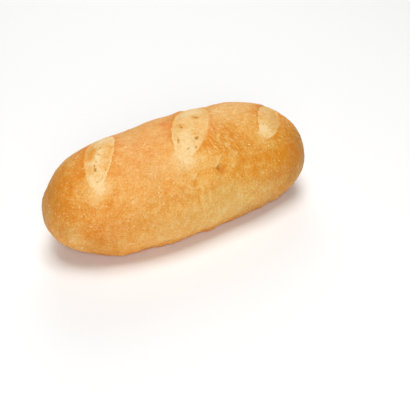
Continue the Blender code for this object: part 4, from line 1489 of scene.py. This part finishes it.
class BREAD_OT_light_stage(bpy.types.Operator):
    """Set up the floor, the soft lights and the camera"""

    bl_idname = "bread.light_stage"
    bl_label = "Light stage"

    def execute(self, context):
        studio = context.scene.bread_studio
        lay_floor(context, studio)
        hang_light(context, "overhead_light", OVERHEAD, studio.overhead_power)
        hang_light(context, "front_light", FRONT, studio.front_power)
        hang_light(context, "back_light", BACK, studio.back_power)
        context.scene.world = paint_room(studio)
        context.scene.view_settings.view_transform = "Standard"
        place_camera(context, studio)
        return {"FINISHED"}


class BREAD_PT_loaf(bpy.types.Panel):
    """The loaf's pieces and their sizes"""

    bl_label = "Bread"
    bl_idname = "BREAD_PT_loaf"
    bl_space_type = "VIEW_3D"
    bl_region_type = "UI"
    bl_category = "Bread"

    def draw(self, context):
        for operator in OPERATORS:
            self.layout.operator(operator.bl_idname)
        for label in GROUPS:
            group = getattr(context.scene, label)
            column = self.layout.column(heading=label)
            for name in group.bl_rna.properties.keys():
                if name not in ("rna_type", "name"):
                    column.prop(group, name)


GROUPS = {
    "bread_crust": BreadCrust,
    "bread_crumb": BreadCrumb,
    "bread_colours": BreadColours,
    "bread_studio": BreadStudio,
}
OPERATORS = (
    BREAD_OT_bake_crust,
    BREAD_OT_open_cuts,
    BREAD_OT_tuck_fold,
    BREAD_OT_raise_blisters,
    BREAD_OT_light_stage,
)


def fitted_crust(crust):
    """The crust's turns and angles, its points, and the fit that brings them into the solid's box."""
    turn, angle = crust_grid()
    surface = crust_surface(turn, angle, crust)
    return turn, angle, surface, Fit(surface)


def lay_floor(context, studio):
    """A wide plain floor just under the loaf."""
    mesh = bpy.data.meshes.new("floor")
    corners = ((-1, -1), (1, -1), (1, 1), (-1, 1))
    mesh.from_pydata([(x * FLOOR_REACH, y * FLOOR_REACH, -FLOOR_GAP) for x, y in corners], [], [range(4)])
    mesh.materials.append(floor_finish(studio))
    floor = bpy.data.objects.new("floor", mesh)
    context.scene.collection.objects.link(floor)


def paint_room(studio):
    """The pale room: it looks as bright as its backdrop and lights the loaf only as much as its surround."""
    room = bpy.data.worlds.new("room")
    room.use_nodes = True
    tree = room.node_tree
    background = tree.nodes["Background"]
    background.inputs["Color"].default_value = ROOM_COLOUR
    seen = tree.nodes.new("ShaderNodeLightPath")
    strength = tree.nodes.new("ShaderNodeMapRange")
    strength.inputs["To Min"].default_value = studio.surround
    strength.inputs["To Max"].default_value = studio.backdrop
    tree.links.new(seen.outputs["Is Camera Ray"], strength.inputs["Value"])
    tree.links.new(strength.outputs["Result"], background.inputs["Strength"])
    return room


def stand(context, name, data, aim, azimuth, elevation, distance):
    """A light or a camera that faces a point, from an azimuth, an elevation and a distance."""
    level = np.cos(elevation)
    back = Vector((np.sin(azimuth) * level, -np.cos(azimuth) * level, np.sin(elevation)))
    stood = bpy.data.objects.new(name, data)
    stood.location = Vector(aim) + back * distance
    stood.rotation_euler = back.to_track_quat("Z", "Y").to_euler()
    context.scene.collection.objects.link(stood)
    return stood


def hang_light(context, name, degrees, power):
    """A square soft light that faces the middle of the loaf."""
    light = bpy.data.lights.new(name, "AREA")
    light.size = LIGHT_SIZE
    light.energy = power
    stand(context, name, light, (0.0, 0.0, 0.5 * HEIGHT), *np.radians(degrees), LIGHT_DISTANCE)


def place_camera(context, studio):
    """The camera at its azimuth, elevation and distance round the point that it looks at."""
    lens = bpy.data.cameras.new("camera")
    lens.sensor_width = SENSOR_WIDTH
    lens.lens = studio.lens
    lens.clip_start = 0.01
    context.scene.camera = stand(
        context, "camera", lens, studio.aim, studio.azimuth, studio.elevation, studio.distance)


def register():
    """Register the settings, the operators and the panel."""
    for label, group in GROUPS.items():
        bpy.utils.register_class(group)
        setattr(bpy.types.Scene, label, bpy.props.PointerProperty(type=group))
    for operator in OPERATORS:
        bpy.utils.register_class(operator)
    bpy.utils.register_class(BREAD_PT_loaf)


def unregister():
    """Take back what register has added."""
    bpy.utils.unregister_class(BREAD_PT_loaf)
    for operator in reversed(OPERATORS):
        bpy.utils.unregister_class(operator)
    for label, group in reversed(GROUPS.items()):
        delattr(bpy.types.Scene, label)
        bpy.utils.unregister_class(group)


def main():
    """Register the add-on, then make the stage and every piece in order."""
    register()
    bpy.ops.bread.light_stage()
    bpy.ops.bread.bake_crust()
    bpy.ops.bread.open_cuts()
    bpy.ops.bread.tuck_fold()
    bpy.ops.bread.raise_blisters()


if __name__ == "__main__":
    main()
